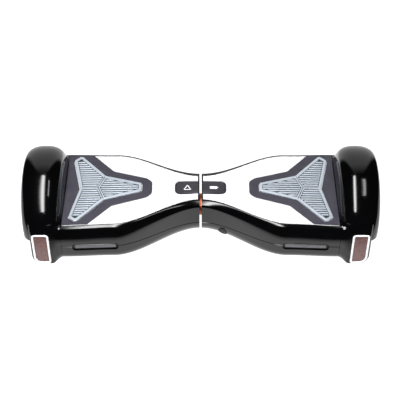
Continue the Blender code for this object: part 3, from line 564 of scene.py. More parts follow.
def grained_rubber(name, light, dark, grain=1500.0, strength=0.5):
    """Soft moulded rubber with a pebble grain and dusty high spots."""
    surface = Surface(name, Specular_IOR_Level=0.2)
    surface.colour(surface.noise(38.0, 8.0), [(0.3, dark), (0.72, light)])
    surface.roughness(surface.noise(90.0, 4.0), [(0.3, 0.62), (0.75, 0.86)])
    surface.bump(surface.cells(grain), strength, 0.00015)
    return surface.material


def grip_pad(name):
    """Satin silver grip with a fine brushed grain along its ribs."""
    surface = Surface(name, Metallic=0.2)
    brushed = surface.noise(900.0, 3.0, surface.stretched((0.12, 1.0, 1.0)))
    surface.colour(brushed, [(0.25, (0.41, 0.46, 0.52)), (0.8, (0.55, 0.60, 0.66))])
    surface.roughness(surface.noise(120.0, 5.0), [(0.3, 0.38), (0.8, 0.52)])
    surface.bump(brushed, 0.08, 0.0001)
    return surface.material


def metal(name, colour, dark, roughness, grain, stretch=(1, 1, 1)):
    """Bare metal: turned or cast grain, stretched along the tool's path, and uneven polish."""
    surface = Surface(name, Metallic=1.0)
    pattern = surface.noise(grain, 5.0, surface.stretched(stretch))
    surface.colour(pattern, [(0.3, dark), (0.75, colour)])
    surface.roughness(surface.noise(70.0, 5.0), [(0.3, roughness[0]), (0.8, roughness[1])])
    surface.bump(pattern, 0.2, 0.0002)
    return surface.material


def lens(name, light, dark, pitch, roughness=0.12):
    """Tinted lens: fine moulded prisms under a smooth clear face."""
    surface = Surface(name, Specular_IOR_Level=0.5)
    prisms = surface.cells(pitch, vector=surface.stretched((1.0, 1.0, 0.55)))
    surface.colour(prisms, [(0.1, light), (0.7, dark)])
    surface.roughness(surface.noise(200.0, 3.0), [(0.3, roughness), (0.8, roughness + 0.12)])
    surface.bump(prisms, 0.25, 0.0003)
    return surface.material


def plastic(name, light, dark, roughness, grain=1200.0, bump=0.15, coat=0.0, specular=0.5):
    """Moulded plastic with a fine texture; coat and specular level set its gloss."""
    surface = Surface(name, Coat_Weight=coat, Coat_Roughness=0.08, Specular_IOR_Level=specular)
    surface.colour(surface.noise(45.0, 6.0), [(0.3, dark), (0.75, light)])
    surface.roughness(surface.noise(150.0, 4.0), [(0.3, roughness[0]), (0.8, roughness[1])])
    surface.bump(surface.noise(grain, 3.0), bump, 0.00012)
    return surface.material


def circuit(name):
    """Green board: solder mask with traces and pale component tops."""
    surface = Surface(name, Coat_Weight=0.3, Coat_Roughness=0.2)
    traces = surface.cells(420.0, "DISTANCE_TO_EDGE")
    surface.colour(traces, [(0.04, (0.06, 0.22, 0.10)), (0.10, (0.012, 0.09, 0.04))])
    surface.roughness(surface.noise(300.0, 3.0), [(0.3, 0.35), (0.7, 0.6)])
    surface.bump(traces, 0.3, 0.0002)
    return surface.material


RECIPES = {
    "gloss_black_shell": (gloss_shell, (0.0008, 0.0008, 0.0010)),
    "silver_white_plate": (pearl_plate,),
    "grey_rubber_mat": (grained_rubber, (0.064, 0.061, 0.079), (0.046, 0.044, 0.058)),
    "silver_pad": (grip_pad,),
    "smoked_window": (plastic, (0.044, 0.042, 0.050), (0.034, 0.033, 0.040), (0.35, 0.45),
                      1200.0, 0.15, 0.0, 0.2),
    "cast_aluminium": (metal, (0.62, 0.63, 0.64), (0.46, 0.47, 0.48), (0.38, 0.6), 900.0),
    "steel": (metal, (0.50, 0.50, 0.52), (0.33, 0.33, 0.35), (0.22, 0.42), 700.0, (1, 8, 8)),
    "bronze": (metal, (0.46, 0.13, 0.06), (0.24, 0.06, 0.03), (0.25, 0.5), 400.0, (8, 1, 1)),
    "tyre_rubber": (grained_rubber, (0.030, 0.030, 0.031), (0.012, 0.012, 0.013), 900.0, 0.35),
    "hub_plastic": (plastic, (0.060, 0.061, 0.065), (0.035, 0.035, 0.038), (0.32, 0.5)),
    "white_bezel": (plastic, (0.90, 0.91, 0.93), (0.80, 0.81, 0.84), (0.15, 0.28), 1200.0, 0.15, 0.6),
    "headlight_lens": (lens, (0.21, 0.115, 0.105), (0.095, 0.052, 0.050), 900.0),
    "red_lens": (lens, (0.42, 0.015, 0.012), (0.16, 0.004, 0.004), 700.0),
    "smoked_lamp": (lens, (0.13, 0.13, 0.14), (0.07, 0.07, 0.078), 800.0, 0.18),
    "circuit_board": (circuit,),
    "battery_wrap": (plastic, (0.03, 0.09, 0.34), (0.02, 0.05, 0.20), (0.25, 0.5), 300.0, 0.5),
    "copper_winding": (metal, (0.70, 0.30, 0.14), (0.35, 0.13, 0.06), (0.3, 0.5), 600.0, (1, 12, 12)),
    "soft_black": (grained_rubber, (0.040, 0.040, 0.041), (0.018, 0.018, 0.019), 1300.0, 0.3),
    "button_metal": (metal, (0.55, 0.55, 0.57), (0.40, 0.40, 0.42), (0.2, 0.35), 900.0, (10, 1, 1)),
    # near-black colour of the beds under the pad's ribs: painted shade in the grooves
    "groove_grey": (plastic, (0.030, 0.036, 0.046), (0.018, 0.022, 0.029), (0.5, 0.7)),
    "icon_white": (plastic, (0.92, 0.93, 0.95), (0.85, 0.86, 0.88), (0.3, 0.4)),
}
FINISH = {name: make(name, *values) for name, (make, *values) in RECIPES.items()}


def place(piece, body, slot, *nodes, finish=None):
    """Gives a piece the material of its finish or record slot, parents it to its body, and hides the CAD
    nodes that it stands for.
    """
    piece.data.materials.clear()
    piece.data.materials.append(FINISH[finish or slot])
    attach(piece, body)
    if nodes:
        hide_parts(*nodes)
    return piece


def both_sides(piece, noun, slot, body_noun="half", replaced=True, finish=None):
    """Places a right-hand piece, or one made from a shape, and its mirror image on the left."""
    if isinstance(piece, tuple):
        piece = mesh_object(noun, piece)
    twin = mirrored(piece, "left_" + noun + "_look")
    piece.name = "right_" + noun + "_look"
    for side, item in (("right", piece), ("left", twin)):
        nodes = [f"{side}_{noun}"] if replaced else []
        place(item, f"{side}_{body_noun}", slot, *nodes, finish=finish)


# ---- shells ----
def stations(start, end, steps=BODY_STEPS):
    """Evenly spaced numbers from start to end, both included."""
    return [start + (end - start) * i / steps for i in range(steps + 1)]


def whole_section(x, half_section):
    """Closed ring at x from the (y, z) points of its rear half."""
    mirror_image = [(-y, z) for y, z in reversed(half_section)]
    return [(x, y, z) for y, z in half_section + mirror_image]


def upper_section(x, side_inset, top_inset, floor_z, chamfer):
    """Section of the upper shell's outside or, with insets, of its cavity."""
    drop = shoulder_drop(x)
    reach = (SHOULDER - side_inset, drop - top_inset)
    corner = arc((deck_half(x), deck_top(x) - drop), reach, 0, 90, CORNER_STEPS)
    half = body_half(x) - side_inset
    return whole_section(x, [(half - chamfer, floor_z), (half, floor_z + max(chamfer, 0.0001))] + corner)


def lower_section(x, inset, roof_z, chamfer):
    """Section of the lower shell's outside or, with an inset, of its cavity."""
    across, up = belly_corner(x)
    half = body_half(x)
    corner = arc((half - across, BELLY_Z + up), (across - inset, up - inset), 0, -90, CORNER_STEPS)
    half -= inset
    return whole_section(x, [(half - chamfer, roof_z), (half, roof_z - max(chamfer, 0.0001))] + corner)


def fender_profile(inset):
    """(x, radius) points over the fender, from the deck side to the lip."""
    ridge_reach = (CROWN_X - FENDER_INNER - inset, FENDER_RADIUS - 2 * WALL_FOOT_RADIUS - inset)
    lip_reach = (FENDER_OUTER - CROWN_X - inset, FENDER_RADIUS - LIP_RADIUS - inset)
    foot = [(FENDER_INNER + inset, WALL_FOOT_RADIUS)]
    ridge = arc((CROWN_X, 2 * WALL_FOOT_RADIUS), ridge_reach, 180, 90, 2 * CORNER_STEPS, RIDGE_POWER)
    shoulder = arc((CROWN_X, LIP_RADIUS), lip_reach, 90, 0, CORNER_STEPS, CROWN_POWER)
    return foot + ridge + shoulder[1:]


def fender_section():
    """Closed fender wall: outer skin, rounded lip edge, inner skin."""
    outer = fender_profile(0)
    inner = fender_profile(WALL)[::-1]
    middle = (FENDER_OUTER - WALL / 2, LIP_RADIUS)
    lip = arc(middle, (WALL / 2, LIP_EDGE), 0, -180, 6)
    return outer[:-1] + lip + inner[1:]


def reflected(points):
    """Mirror image of (x, y, ...) points across y = 0, in reverse order."""
    return [(x, -y, *rest) for x, y, *rest in reversed(points)]


def deck_outline(margin):
    rear = [(x, deck_half(x) + margin)
            for x in stations(HALF_SPLIT + MIDDLE_LIP - margin, DECK_END + margin)]
    return rear + reflected(rear)


def slot_outline():
    corner = (SLOT_HIGH.z - SLOT_LOW.z) * 0.35
    return rounded_box((SLOT_LOW.x, SLOT_LOW.z), (SLOT_HIGH.x, SLOT_HIGH.z), corner)


def pivot_hole():
    radius = SLEEVE_RADIUS + PIVOT_PLAY
    return turned((-0.001, 0, PIVOT_Z), (1, 0, 0), [(0, radius), (REACH, radius)])


def slot_hole():
    return stack(slot_outline(), [(CLEARANCE, -SLOT_CUT), (CLEARANCE, SLOT_CUT)], behind_wall)


def boss_hole(sign, play):
    radius = BOSS_RADIUS + play
    steps = [(0, radius), (BOSS_HOLE_LENGTH, radius)]
    return turned((BOSS_X, sign * BOSS_Y, BOSS_HOLE_Z), (0, 0, 1), steps, SMALL_ROUND)


def upper_shell():
    """Top of one half with its fender, hollow, with room for plate, lamp columns, axle and pivot."""
    floor_z = PARTING_Z + CLEARANCE / 2
    rings = [upper_section(x, 0, 0, floor_z, PARTING_CHAMFERS[0])
             for x in stations(HALF_SPLIT, BODY_END)]
    shell = mesh_object("right_upper_shell_look", loft(rings))
    section = fender_section()
    sweep = math.pi + 2 * LIP_DROP
    carve(shell, ring_around_x(lambda i: section, AXLE_Z, FENDER_STEPS, -LIP_DROP, sweep), "UNION")
    roof = PLATE_THICK + CLEARANCE + WALL
    carve(shell, loft([upper_section(x, WALL, roof, PARTING_Z - REACH, 0.0)
                       for x in stations(HALF_SPLIT + WALL, BODY_END - WALL, CAVITY_STEPS)]))
    carve(shell, prism(deck_outline(CLEARANCE), on_deck(-PLATE_THICK - CLEARANCE), on_deck(REACH)))
    for sign in (-1, 1):
        depths = sorted((sign * (HOUSING_BACK - 0.002), sign * HOUSING_ROOM))
        widths = (HOUSING_LOW.x - CLEARANCE, HOUSING_HIGH.x + CLEARANCE)
        carve(shell, block(widths, depths, (0.0, HOUSING_TOP)))
        carve(shell, boss_hole(sign, SHELL_BOSS_PLAY))
    half, top = AXLE_SLOT_HALF, AXLE_Z + AXLE_SLOT_HALF
    axle_slot = rounded([(-half, AXLE_SLOT_FOOT, 0.001), (half, AXLE_SLOT_FOOT, 0.001),
                         (half, top, half - 0.0005), (-half, top, half - 0.0005)])
    carve(shell, loft([[(BODY_END + side, y, z) for y, z in axle_slot] for side in (-0.008, 0.008)]))
    carve(shell, pivot_hole())
    carve(shell, slot_hole())
    return settle(shell, SHELL_SHARP)


def lower_shell():
    """Belly of one half, hollow, with screw wells and cooling grooves."""
    roof_z = PARTING_Z - CLEARANCE / 2
    rings = [lower_section(x, 0, roof_z, PARTING_CHAMFERS[1])
             for x in stations(HALF_SPLIT, BODY_END)]
    shell = mesh_object("right_lower_shell_look", loft(rings))
    carve(shell, loft([lower_section(x, WALL, PARTING_Z + REACH, 0.0)
                       for x in stations(HALF_SPLIT + WALL, BODY_END - WALL, CAVITY_STEPS)]))
    carve(shell, pivot_hole())
    carve(shell, slot_hole())
    well = [(-0.002, 0.0040), (0.0018, 0.0040), (0.0018, 0.0023), (0.006, 0.0023)]
    for x, y in SCREW_PLACES:
        carve(shell, turned((x, y, BELLY_Z), (0, 0, 1), well, SMALL_ROUND))
    wide, deep = BELLY_GROOVE_HALF
    for x in BELLY_GROOVES_X:
        groove = rounded_box((x - wide, -deep), (x + wide, deep), wide - 0.0001)
        carve(shell, prism(groove, lambda x: BELLY_Z - 0.001, lambda x: BELLY_Z + BELLY_GROOVE_DEPTH))
    return shell


def belly_corner_axis(sign):
    """Point on the rounded lower edge at PORT_X and PORT_Z, and the inward normal there."""

    def depth(x):
        across, up = belly_corner(x)
        fall = (BELLY_Z + up - PORT_Z) / up
        return body_half(x) - across + across * math.sqrt(1 - fall ** 2)

    across, up = belly_corner(PORT_X)
    fall = (BELLY_Z + up - PORT_Z) / up
    step = 0.001
    along = (depth(PORT_X + step) - depth(PORT_X - step)) / (2 * step)
    down = fall * across / (up * math.sqrt(1 - fall ** 2))
    return Vector((PORT_X, sign * depth(PORT_X), PORT_Z)), Vector((along, -sign, down)).normalized()


def make_shells():
    both_sides(upper_shell(), "upper_shell", "gloss_black_shell")
    left = mirrored(settle(lower_shell(), SHELL_SHARP), "left_lower_shell_look")
    right = bpy.data.objects["right_lower_shell_look"]
    for sign, radius in ((-1, PORT_RADIUS + CLEARANCE), (1, BUTTON_RADIUS + CLEARANCE)):
        carve(right, turned(*belly_corner_axis(sign), [(-0.008, radius), (0.008, radius)]))
    settle(right, SHELL_SHARP)
    place(left, "left_half", "gloss_black_shell", "left_lower_shell")
    place(right, "right_half", "gloss_black_shell", "right_lower_shell")


# ---- lamps ----
def lamp_face_y(z):
    return LAMP_FACE_Y + LAMP_FACE_LEAN * (LAMP_TOP - z)


def housing_face_y(z):
    """Depth of the housing front, easing from the fender's curve into the leaning lamp face."""
    upper = math.sqrt(FENDER_RADIUS ** 2 - (z - AXLE_Z) ** 2)
    blend = smoothstep((z - LAMP_TOP) / BROW_HEIGHT)
    return upper * blend + lamp_face_y(z) * (1 - blend)


def body_depth(z):
    """Depth of the body's side at its wheel end, at height z."""
    drop = shoulder_drop(BODY_END)
    across, up = belly_corner(BODY_END)
    shoulder_cut = SHOULDER * quarter_drop((z - deck_top(BODY_END) + drop) / drop)
    belly_cut = across * quarter_drop((BELLY_Z + up - z) / up)
    return body_half(BODY_END) - shoulder_cut - belly_cut


def fender_depth(x, z):
    """Depth of the fender's rounded ridge at x and height z."""
    side = (CROWN_X - x) / (CROWN_X - FENDER_INNER)
    rise = (1 - side ** RIDGE_POWER) ** (1 / RIDGE_POWER)
    radius = 2 * WALL_FOOT_RADIUS + (FENDER_RADIUS - 2 * WALL_FOOT_RADIUS) * rise
    return math.sqrt(radius ** 2 - (z - AXLE_Z) ** 2)


def neck_depth(x, z):
    """Depth of the fairing between the body's side and the lamp column."""
    share = smoothstep((x - BODY_END) / (COLUMN_INNER - BODY_END))
    depth = body_depth(z) + (housing_face_y(z) - body_depth(z)) * share
    above_deck = z - deck_top(BODY_END)
    fade = smoothstep(above_deck / (NECK_RISE + NECK_SLOPE * (x - BODY_END)))
    return depth + (fender_depth(x, z) - depth) * fade


def lamp_housing(sign):
    """Foot of the fender: a lamp column faired into the body's side."""
    bottom, top = HOUSING_LOW.z, HOUSING_TOP - CLEARANCE
    start, edge = HOUSING_LOW.x, COLUMN_FOOT_EDGE
    heights = [bottom + edge * (1 - math.cos(math.pi / 2 * i / FOOT_STEPS)) for i in range(FOOT_STEPS)]
    heights += stations(bottom + edge, top, COLUMN_STEPS)
    rings = []
    for z in heights:
        tuck = edge * quarter_drop((bottom + edge - z) / edge)
        below = (bottom + COLUMN_FOOT_CORNER - z) / COLUMN_FOOT_CORNER
        outer = HOUSING_HIGH.x - COLUMN_FOOT_CORNER * quarter_drop(below)
        face = housing_face_y(z) - tuck
        outline = [(x, neck_depth(x, z) - tuck) for x in stations(start, COLUMN_INNER, NECK_STEPS)]
        centre = (outer - COLUMN_FACE_CORNER, face - COLUMN_FACE_CORNER)
        outline += arc(centre, (COLUMN_FACE_CORNER, COLUMN_FACE_CORNER), 90, 0, 6)
        outline += [(outer, HOUSING_BACK), (start, HOUSING_BACK)]
        rings.append([(x, sign * y, z) for x, y in outline])
    name = "front" if sign < 0 else "rear"
    piece = mesh_object(f"right_{name}_lamp_housing_look", loft(rings))
    well = [(0, TYRE_ROOM), (WELL_LENGTH, TYRE_ROOM)]
    carve(piece, turned((WELL_START, 0, AXLE_Z), (1, 0, 0), well, WELL_ROUND))
    carve(piece, lamp_panel(lamp_outline(CLEARANCE), sign, -REACH, POCKET_DEPTH))
    return settle(piece, COLUMN_SHARP)


def lamp_outline(margin):
    inner_foot, outer_foot = LAMP_FOOT_CORNERS
    corners = [(LAMP_INNER, LAMP_BOTTOM, inner_foot), (LAMP_OUTER, LAMP_BOTTOM, outer_foot),
               (LAMP_OUTER, LAMP_TOP, LAMP_CORNER), (LAMP_INNER, LAMP_TOP, LAMP_CORNER)]
    return offset(rounded(corners), margin)


def lamp_ring(outline, sign, inset):
    return [(x, sign * (lamp_face_y(z) - inset), z) for x, z in outline]


def lamp_panel(outline, sign, outer_inset, inner_inset):
    return loft([lamp_ring(outline, sign, outer_inset), lamp_ring(outline, sign, inner_inset)])


def bezel_frame():
    """White frame with a rounded front edge, as a closed ring; steps are (margin, inset)."""
    steps = [(0.0, LAMP_BACK), (0.0, 0.0004), (-0.0003, -0.0002), (-0.0009, -0.0006),
             (-BEZEL_BAND + 0.0009, -0.0006), (-BEZEL_BAND + 0.0003, -0.0003), (-BEZEL_BAND, 0.0002),
             (-BEZEL_BAND, LAMP_BACK)]
    rings = [lamp_ring(lamp_outline(margin), -1, inset) for margin, inset in steps]
    return loft(rings, closed=True)


def domed_lens(sign, margin, edge_inset, dome):
    """Lens with a slightly domed face."""
    outline = lamp_outline(margin)
    rings = [lamp_ring(outline, sign, LAMP_BACK)]
    middle_x, middle_z = (LAMP_INNER + LAMP_OUTER) / 2, (LAMP_BOTTOM + LAMP_TOP) / 2
    for share in (0.0, 0.12, 0.3, 0.55, 0.8, 0.96):
        smaller = [(x + (middle_x - x) * share, z + (middle_z - z) * share) for x, z in outline]
        rise = dome * (1 - (1 - share) ** 2)
        rings.append(lamp_ring(smaller, sign, edge_inset - rise))
    return loft(rings)


def slot_lamp():
    """Recessed lamp: a dark tray with a rounded light bar along it."""
    tray = stack(slot_outline(), [(0.0, depth) for depth in SLOT_TRAY], behind_wall)
    steps = [(0.0, 0.0036), (0.0, 0.0020), (-0.0004, 0.0015), (-0.0010, 0.0013)]
    return tray, stack(offset(slot_outline(), -SLOT_BAR_MARGIN), steps, behind_wall)


def make_lamps():
    for sign, end in ((-1, "front"), (1, "rear")):
        both_sides(lamp_housing(sign), f"{end}_lamp_housing", "gloss_black_shell")
    both_sides(bezel_frame(), "headlight_bezel", "white_bezel")
    both_sides(domed_lens(-1, -BEZEL_BAND - CLEARANCE, 0.0008, 0.0005), "headlight_lens", "headlight_lens")
    both_sides(domed_lens(1, 0.0, 0.0004, 0.0009), "tail_light_lens", "red_lens")
    tray, bar = slot_lamp()
    both_sides(tray, "slot_lamp", "smoked_lamp", finish="soft_black")
    both_sides(bar, "slot_lamp_bar", "smoked_lamp", replaced=False)


# ---- deck ----
def panel_outline(margin=0.0):
    start, end = PANEL_LOW.x, PANEL_HIGH.x + margin
    half = PANEL_HIGH.y + margin
    square, round_corner = 0.0001, PANEL_CORNER + margin
    return rounded([(start, -half, square), (end, -half, round_corner),
                    (end, half, round_corner), (start, half, square)])


def deck_plate():
    """Plate with a rounded rim and a fine step line just inside it; steps are (margin, height)."""
    outline = deck_outline(-PLATE_SEAM)
    steps = [(0.0, -PLATE_THICK), (0.0, -0.0004), (-0.0002, -0.0001), (-0.0006, 0.0), (-0.0050, 0.0),
             (-0.0053, -0.00035), (-0.0059, -0.00035), (-0.0062, 0.0)]
    plate = mesh_object("right_deck_plate_look", stack(outline, steps, above_deck))
    notch = [(x if x > 0.006 else 0.0, y) for x, y in panel_outline(CLEARANCE)]
    carve(plate, prism(notch, on_deck(-REACH), on_deck(REACH)))
    for sign in (-1, 1):
        carve(plate, boss_hole(sign, PLATE_BOSS_PLAY))
    return settle(plate, DECK_SHARP)


def pad_outline():
    """The three-lobed outline, from a rear corner round to the notch by the fender."""
    rear = [(*corner, radius) for corner, radius in zip(PAD_CORNERS, PAD_RADII)]
    return rounded(rear + reflected(rear) + [(*PAD_NOTCH, PAD_NOTCH_RADIUS)])


def mat_outline():
    ends = ((DECK_END - CLEARANCE, 0.0010), (MAT_HIP, 0.0040))
    rear = [(x, deck_half(x) - PLATE_SEAM, radius) for x, radius in ends] + MAT_NOSE
    return rounded(rear + reflected(rear))


def inset_polygon(points, insets):
    """Convex polygon whose edge i (from point i to the next) moves inwards by insets[i]."""
    sign = winding(points)
    lines = []
    for (x0, y0), (x1, y1), inset in zip(points, points[1:] + points[:1], insets):
        length = math.hypot(x1 - x0, y1 - y0)
        nx, ny = -(y1 - y0) / length * sign, (x1 - x0) / length * sign
        lines.append((nx, ny, nx * x0 + ny * y0 + inset))
    moved = []
    for (a1, b1, c1), (a2, b2, c2) in zip(lines[-1:] + lines[:-1], lines):
        det = a1 * b2 - a2 * b1
        moved.append(((c1 * b2 - c2 * b1) / det, (a1 * c2 - a2 * c1) / det))
    return moved


def pad_lobes():
    """The pad's three pockets: two towards its corners, one towards the middle of the board."""
    insets = (PAD_RIM, PAD_RIM, PAD_RIM, PAD_DIVIDER, PAD_DIVIDER)
    outer, side, waist, nose = PAD_CORNERS
    rear = inset_polygon([PAD_NOTCH, outer, side, waist, PAD_JUNCTION], insets)
    inner = [waist, nose, *reflected([waist, nose]), PAD_JUNCTION]
    return rear, reflected(rear), inset_polygon(inner, insets)


def span_at(polygon, y):
    """Where the line at depth y enters and leaves a convex polygon."""
    crossings = []
    for (x0, y0), (x1, y1) in zip(polygon, polygon[1:] + polygon[:1]):
        if (y0 - y) * (y1 - y) < 0:
            crossings.append(x0 + (x1 - x0) * (y - y0) / (y1 - y0))
    return (min(crossings), max(crossings)) if len(crossings) >= 2 else None


def pad_ribs(lobe):
    """Ribs along the board that fill one pocket, their ends cut to the pocket's slanting sides."""
    room = inset_polygon(lobe, [RIB_GAP] * len(lobe))
    low_y = min(y for _, y in room)
    high_y = max(y for _, y in room)
    count = int((high_y - low_y) / RIB_PITCH)
    start = (low_y + high_y) / 2 - RIB_PITCH * (count - 1) / 2
    ribs = []
    for i in range(count):
        near_y = start + RIB_PITCH * i - RIB_WIDTH / 2
        far_y = near_y + RIB_WIDTH
        near, far = span_at(room, near_y), span_at(room, far_y)
        if near is None or far is None or min(near[1] - near[0], far[1] - far[0]) < RIB_SHORTEST:
            continue
        corners = [(near[0], near_y), (near[1], near_y), (far[1], far_y), (far[0], far_y)]
        outline = rounded([(*corner, RIB_EDGE) for corner in corners], 3)
        foot, top = on_deck(PAD_TOP - PAD_POCKET - 0.0002), on_deck(PAD_TOP - 0.0001)
        ribs.append(slab(outline, foot, top, RIB_EDGE))
    return ribs


def pad_dividers(low, high, width):
    """Bars along the three lines where the lobes meet."""
    return [flat_bar(PAD_JUNCTION, end, width, low, high) for end in WEB_ENDS]


def foot_pad():
    """Pad with its bosses, pockets and dividing grooves; its ribs; the near-black beds between them, which
    paint the shade in the grooves.
    """
    bed = PAD_TOP - PAD_POCKET
    pad = mesh_object("right_foot_pad_look",
                      slab(pad_outline(), on_deck(PAD_LIFT), on_deck(PAD_TOP), PAD_EDGE))
    length = deck_top(BOSS_X) + PAD_LIFT + 0.0008 - BOSS_FOOT_Z
    steps = [(0.0, BOSS_RADIUS - 0.0008), (0.0008, BOSS_RADIUS), (length, BOSS_RADIUS)]
    for sign in (-1, 1):
        foot = (BOSS_X, sign * BOSS_Y, BOSS_FOOT_Z)
        carve(pad, turned(foot, (0, 0, 1), steps, SMALL_ROUND), "UNION")
    for lobe in pad_lobes():
        pocket = rounded([(*corner, 0.0016) for corner in lobe], 4)
        steps = ((-0.0003, bed), (0.0, PAD_TOP - 0.0002), (0.0009, PAD_TOP + 0.0010))
        carve(pad, stack(pocket, steps, above_deck))
    for bar in pad_dividers(bed, PAD_TOP + 0.001, 0.0013):
        carve(pad, bar)
    settle(pad, DECK_SHARP)
    ribs = merged(*[rib for lobe in pad_lobes() for rib in pad_ribs(lobe)])
    # near-black beds in the pockets and under the dividers: painted shade between the ribs
    low, high = bed - 0.0003, bed + 0.00015
    shade_beds = [prism(rounded([(*corner, 0.0014) for corner in lobe], 4), on_deck(low), on_deck(high))
            for lobe in pad_lobes()]
    shade_beds += pad_dividers(low, high, 0.0018)
    ribs_piece = mesh_object("right_pad_ribs_look", ribs, DECK_SHARP)
    return pad, ribs_piece, mesh_object("right_pad_shade_bed_look", merged(*shade_beds))


def foot_mat():
    mat = mesh_object("right_foot_mat_look",
                      slab(mat_outline(), on_deck(CLEARANCE), on_deck(MAT_THICK), MAT_EDGE))
    carve(mat, prism(offset(pad_outline(), MAT_PAD_GAP), on_deck(-REACH), on_deck(REACH)))
    return settle(mat, DECK_SHARP)


def flat_bar(start, end, width, low, high):
    """Thin raised bar between two (x, y) points."""
    direction = Vector((end[0] - start[0], end[1] - start[1])).normalized()
    side = Vector((-direction.y, direction.x)) * width / 2
    a, b = Vector(start), Vector(end)
    corners = [tuple(a - side), tuple(b - side), tuple(b + side), tuple(a + side)]
    return prism(corners, on_deck(low), on_deck(high))


def indicator_icons():
    """Battery outline with its nub on the right; a plain triangle status mark on the left."""
    low, high = ICON_HEIGHTS
    case = rounded_box((ICON_X - 0.0066, -0.0029), (ICON_X + 0.0056, 0.0029), 0.0010)
    nub_start, nub_end = ICON_X + 0.0060, ICON_X + 0.0074
    nub = block((nub_start, nub_end), (-0.0012, 0.0012), (deck_top(ICON_X) + low, deck_top(nub_end) + high))
    battery = [prism(case, on_deck(low), on_deck(high)), nub]
    tip, left, right = (-ICON_X, 0.0052), (-ICON_X - 0.0056, -0.0044), (-ICON_X + 0.0056, -0.0044)
    status = [flat_bar(a, b, 0.0015, low, high) for a, b in ((tip, left), (left, right), (right, tip))]
    for name, body, shapes in (("battery", "right_half", battery), ("status", "left_half", status)):
        icon = mesh_object(name + "_icon", merged(*shapes))
        place(icon, body, "smoked_window", finish="icon_white")


def make_deck():
    both_sides(deck_plate(), "deck_plate", "silver_white_plate")
    both_sides(foot_mat(), "foot_mat", "grey_rubber_mat")
    pad, ribs, shade_beds = foot_pad()
    both_sides(pad, "foot_pad", "silver_pad", "pad")
    both_sides(ribs, "pad_ribs", "silver_pad", "pad", replaced=False)
    # the pad beds' near-black finish is painted groove shade
    both_sides(shade_beds, "pad_shade_bed", "silver_pad", "pad", replaced=False, finish="groove_grey")
    rim = slab(panel_outline(), on_deck(CLEARANCE - PLATE_THICK), on_deck(-0.0011), 0.0003)
    both_sides(rim, "indicator_panel", "smoked_window", finish="gloss_black_shell")
    face = slab(panel_outline(-PANEL_RIM), on_deck(-0.0013), on_deck(-0.0003), 0.0004)
    both_sides(face, "indicator_face", "smoked_window", replaced=False)
    indicator_icons()


# ---- wheels ----
def tyre_profile(index):
    """Tyre cross-section with three running grooves and sipes across each shoulder."""
    bead = RIM_HIGH.z - AXLE_Z + CLEARANCE
    wide, deep = TYRE_SHOULDER
    side_radius = TYRE_RADIUS - deep
    cut = SIPE_DEPTH if index % 6 in (0, 1) else 0.0

    def shoulder(x, start, end):
        return [(a, r - cut * smoothstep((r - side_radius - SIPE_START) / SIPE_RISE))
                for a, r in arc((x, side_radius), TYRE_SHOULDER, start, end, 8)]

    points = [(TYRE_LOW.x + 0.001, bead)] + shoulder(TYRE_LOW.x + wide, 180, 90)
    for centre in (WHEEL_X - TREAD_PITCH, WHEEL_X, WHEEL_X + TREAD_PITCH):
        points += [(centre - 0.0012, TYRE_RADIUS), (centre - 0.0008, TYRE_RADIUS - SIPE_DEPTH),
                   (centre + 0.0008, TYRE_RADIUS - SIPE_DEPTH), (centre + 0.0012, TYRE_RADIUS)]
    return points + shoulder(TYRE_HIGH.x - wide, 90, 0) + [(TYRE_HIGH.x - 0.001, bead)]


def motor_housing():
    """Aluminium rotor cup: flat back with a hole for the axle, thin rim with bevelled edges."""
    rim = RIM_HIGH.z - AXLE_Z
    low, high = RIM_LOW.x, RIM_HIGH.x
    cup = [(low, 0.0580), (low, rim - 0.0010), (low + 0.0008, rim), (high - 0.0010, rim),
           (high, rim - 0.0010), (high, 0.0600), (high - 0.0008, 0.0590), (high - 0.0008, 0.0100),
           (high - 0.0030, 0.0100), (high - 0.0030, 0.0580)]
    return ring_around_x(lambda i: cup, AXLE_Z, WHEEL_ROUND)


def motor_cover():
    """Inner cover: a disc with a raised rim and a collar round the axle."""
    low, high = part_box("right_motor_cover")
    rim = high.z - AXLE_Z
    section = [(low.x, 0.0140), (low.x, 0.0200), (low.x + 0.0010, 0.0215),
               (low.x + 0.0010, rim - 0.006), (low.x, rim - 0.004), (low.x, rim - 0.0008),
               (low.x + 0.0008, rim), (high.x, rim), (high.x, 0.0140)]
    return ring_around_x(lambda i: section, AXLE_Z, WHEEL_ROUND)


def hub_cap():
    """Domed cover with a raised rim and six shallow pockets between spokes."""
    low, high = CAP_LOW.x, CAP_HIGH.x
    radius = CAP_HIGH.z - AXLE_Z
    rim_levels, pocket_levels = (1, 2, 3), (6, 7, 8, 9)
    radii = [radius, radius, radius - 0.0012, radius - 0.0050, radius - 0.0062, radius - 0.0085,
             radius - 0.0110, 0.0380, 0.0300, 0.0220, 0.0195, 0.0170, 0.0165, 0.0080]
    rings = []
    for level, r in enumerate(radii):
        ring = []
        for i in range(CAP_ROUND):
            angle = 2 * math.pi * i / CAP_ROUND
            crown = low + (high - low) * (1 - 0.55 * (r / radius) ** 2)
            if level == 0:
                x = low
            elif level in rim_levels:
                x = low + (high - low) * 0.45 + (0.0003 if level > 1 else 0.0)
            else:
                wave = smoothstep((0.5 + 0.5 * math.cos(6 * angle) - 0.30) / 0.25)
                pocket = HUB_POCKET * wave if level in pocket_levels else 0.0
                x = crown - 0.0004 - pocket
            ring.append((x, r * math.cos(angle), AXLE_Z + r * math.sin(angle)))
        rings.append(ring)
    return loft(rings)


def make_wheels():
    both_sides(ring_around_x(tyre_profile, AXLE_Z, TYRE_ROUND, math.pi / 2), "tyre", "tyre_rubber", "wheel")
    both_sides(motor_housing(), "motor_housing", "cast_aluminium", "wheel")
    both_sides(motor_cover(), "motor_cover", "cast_aluminium", "wheel")
    both_sides(hub_cap(), "hub_cap", "hub_plastic", "wheel")


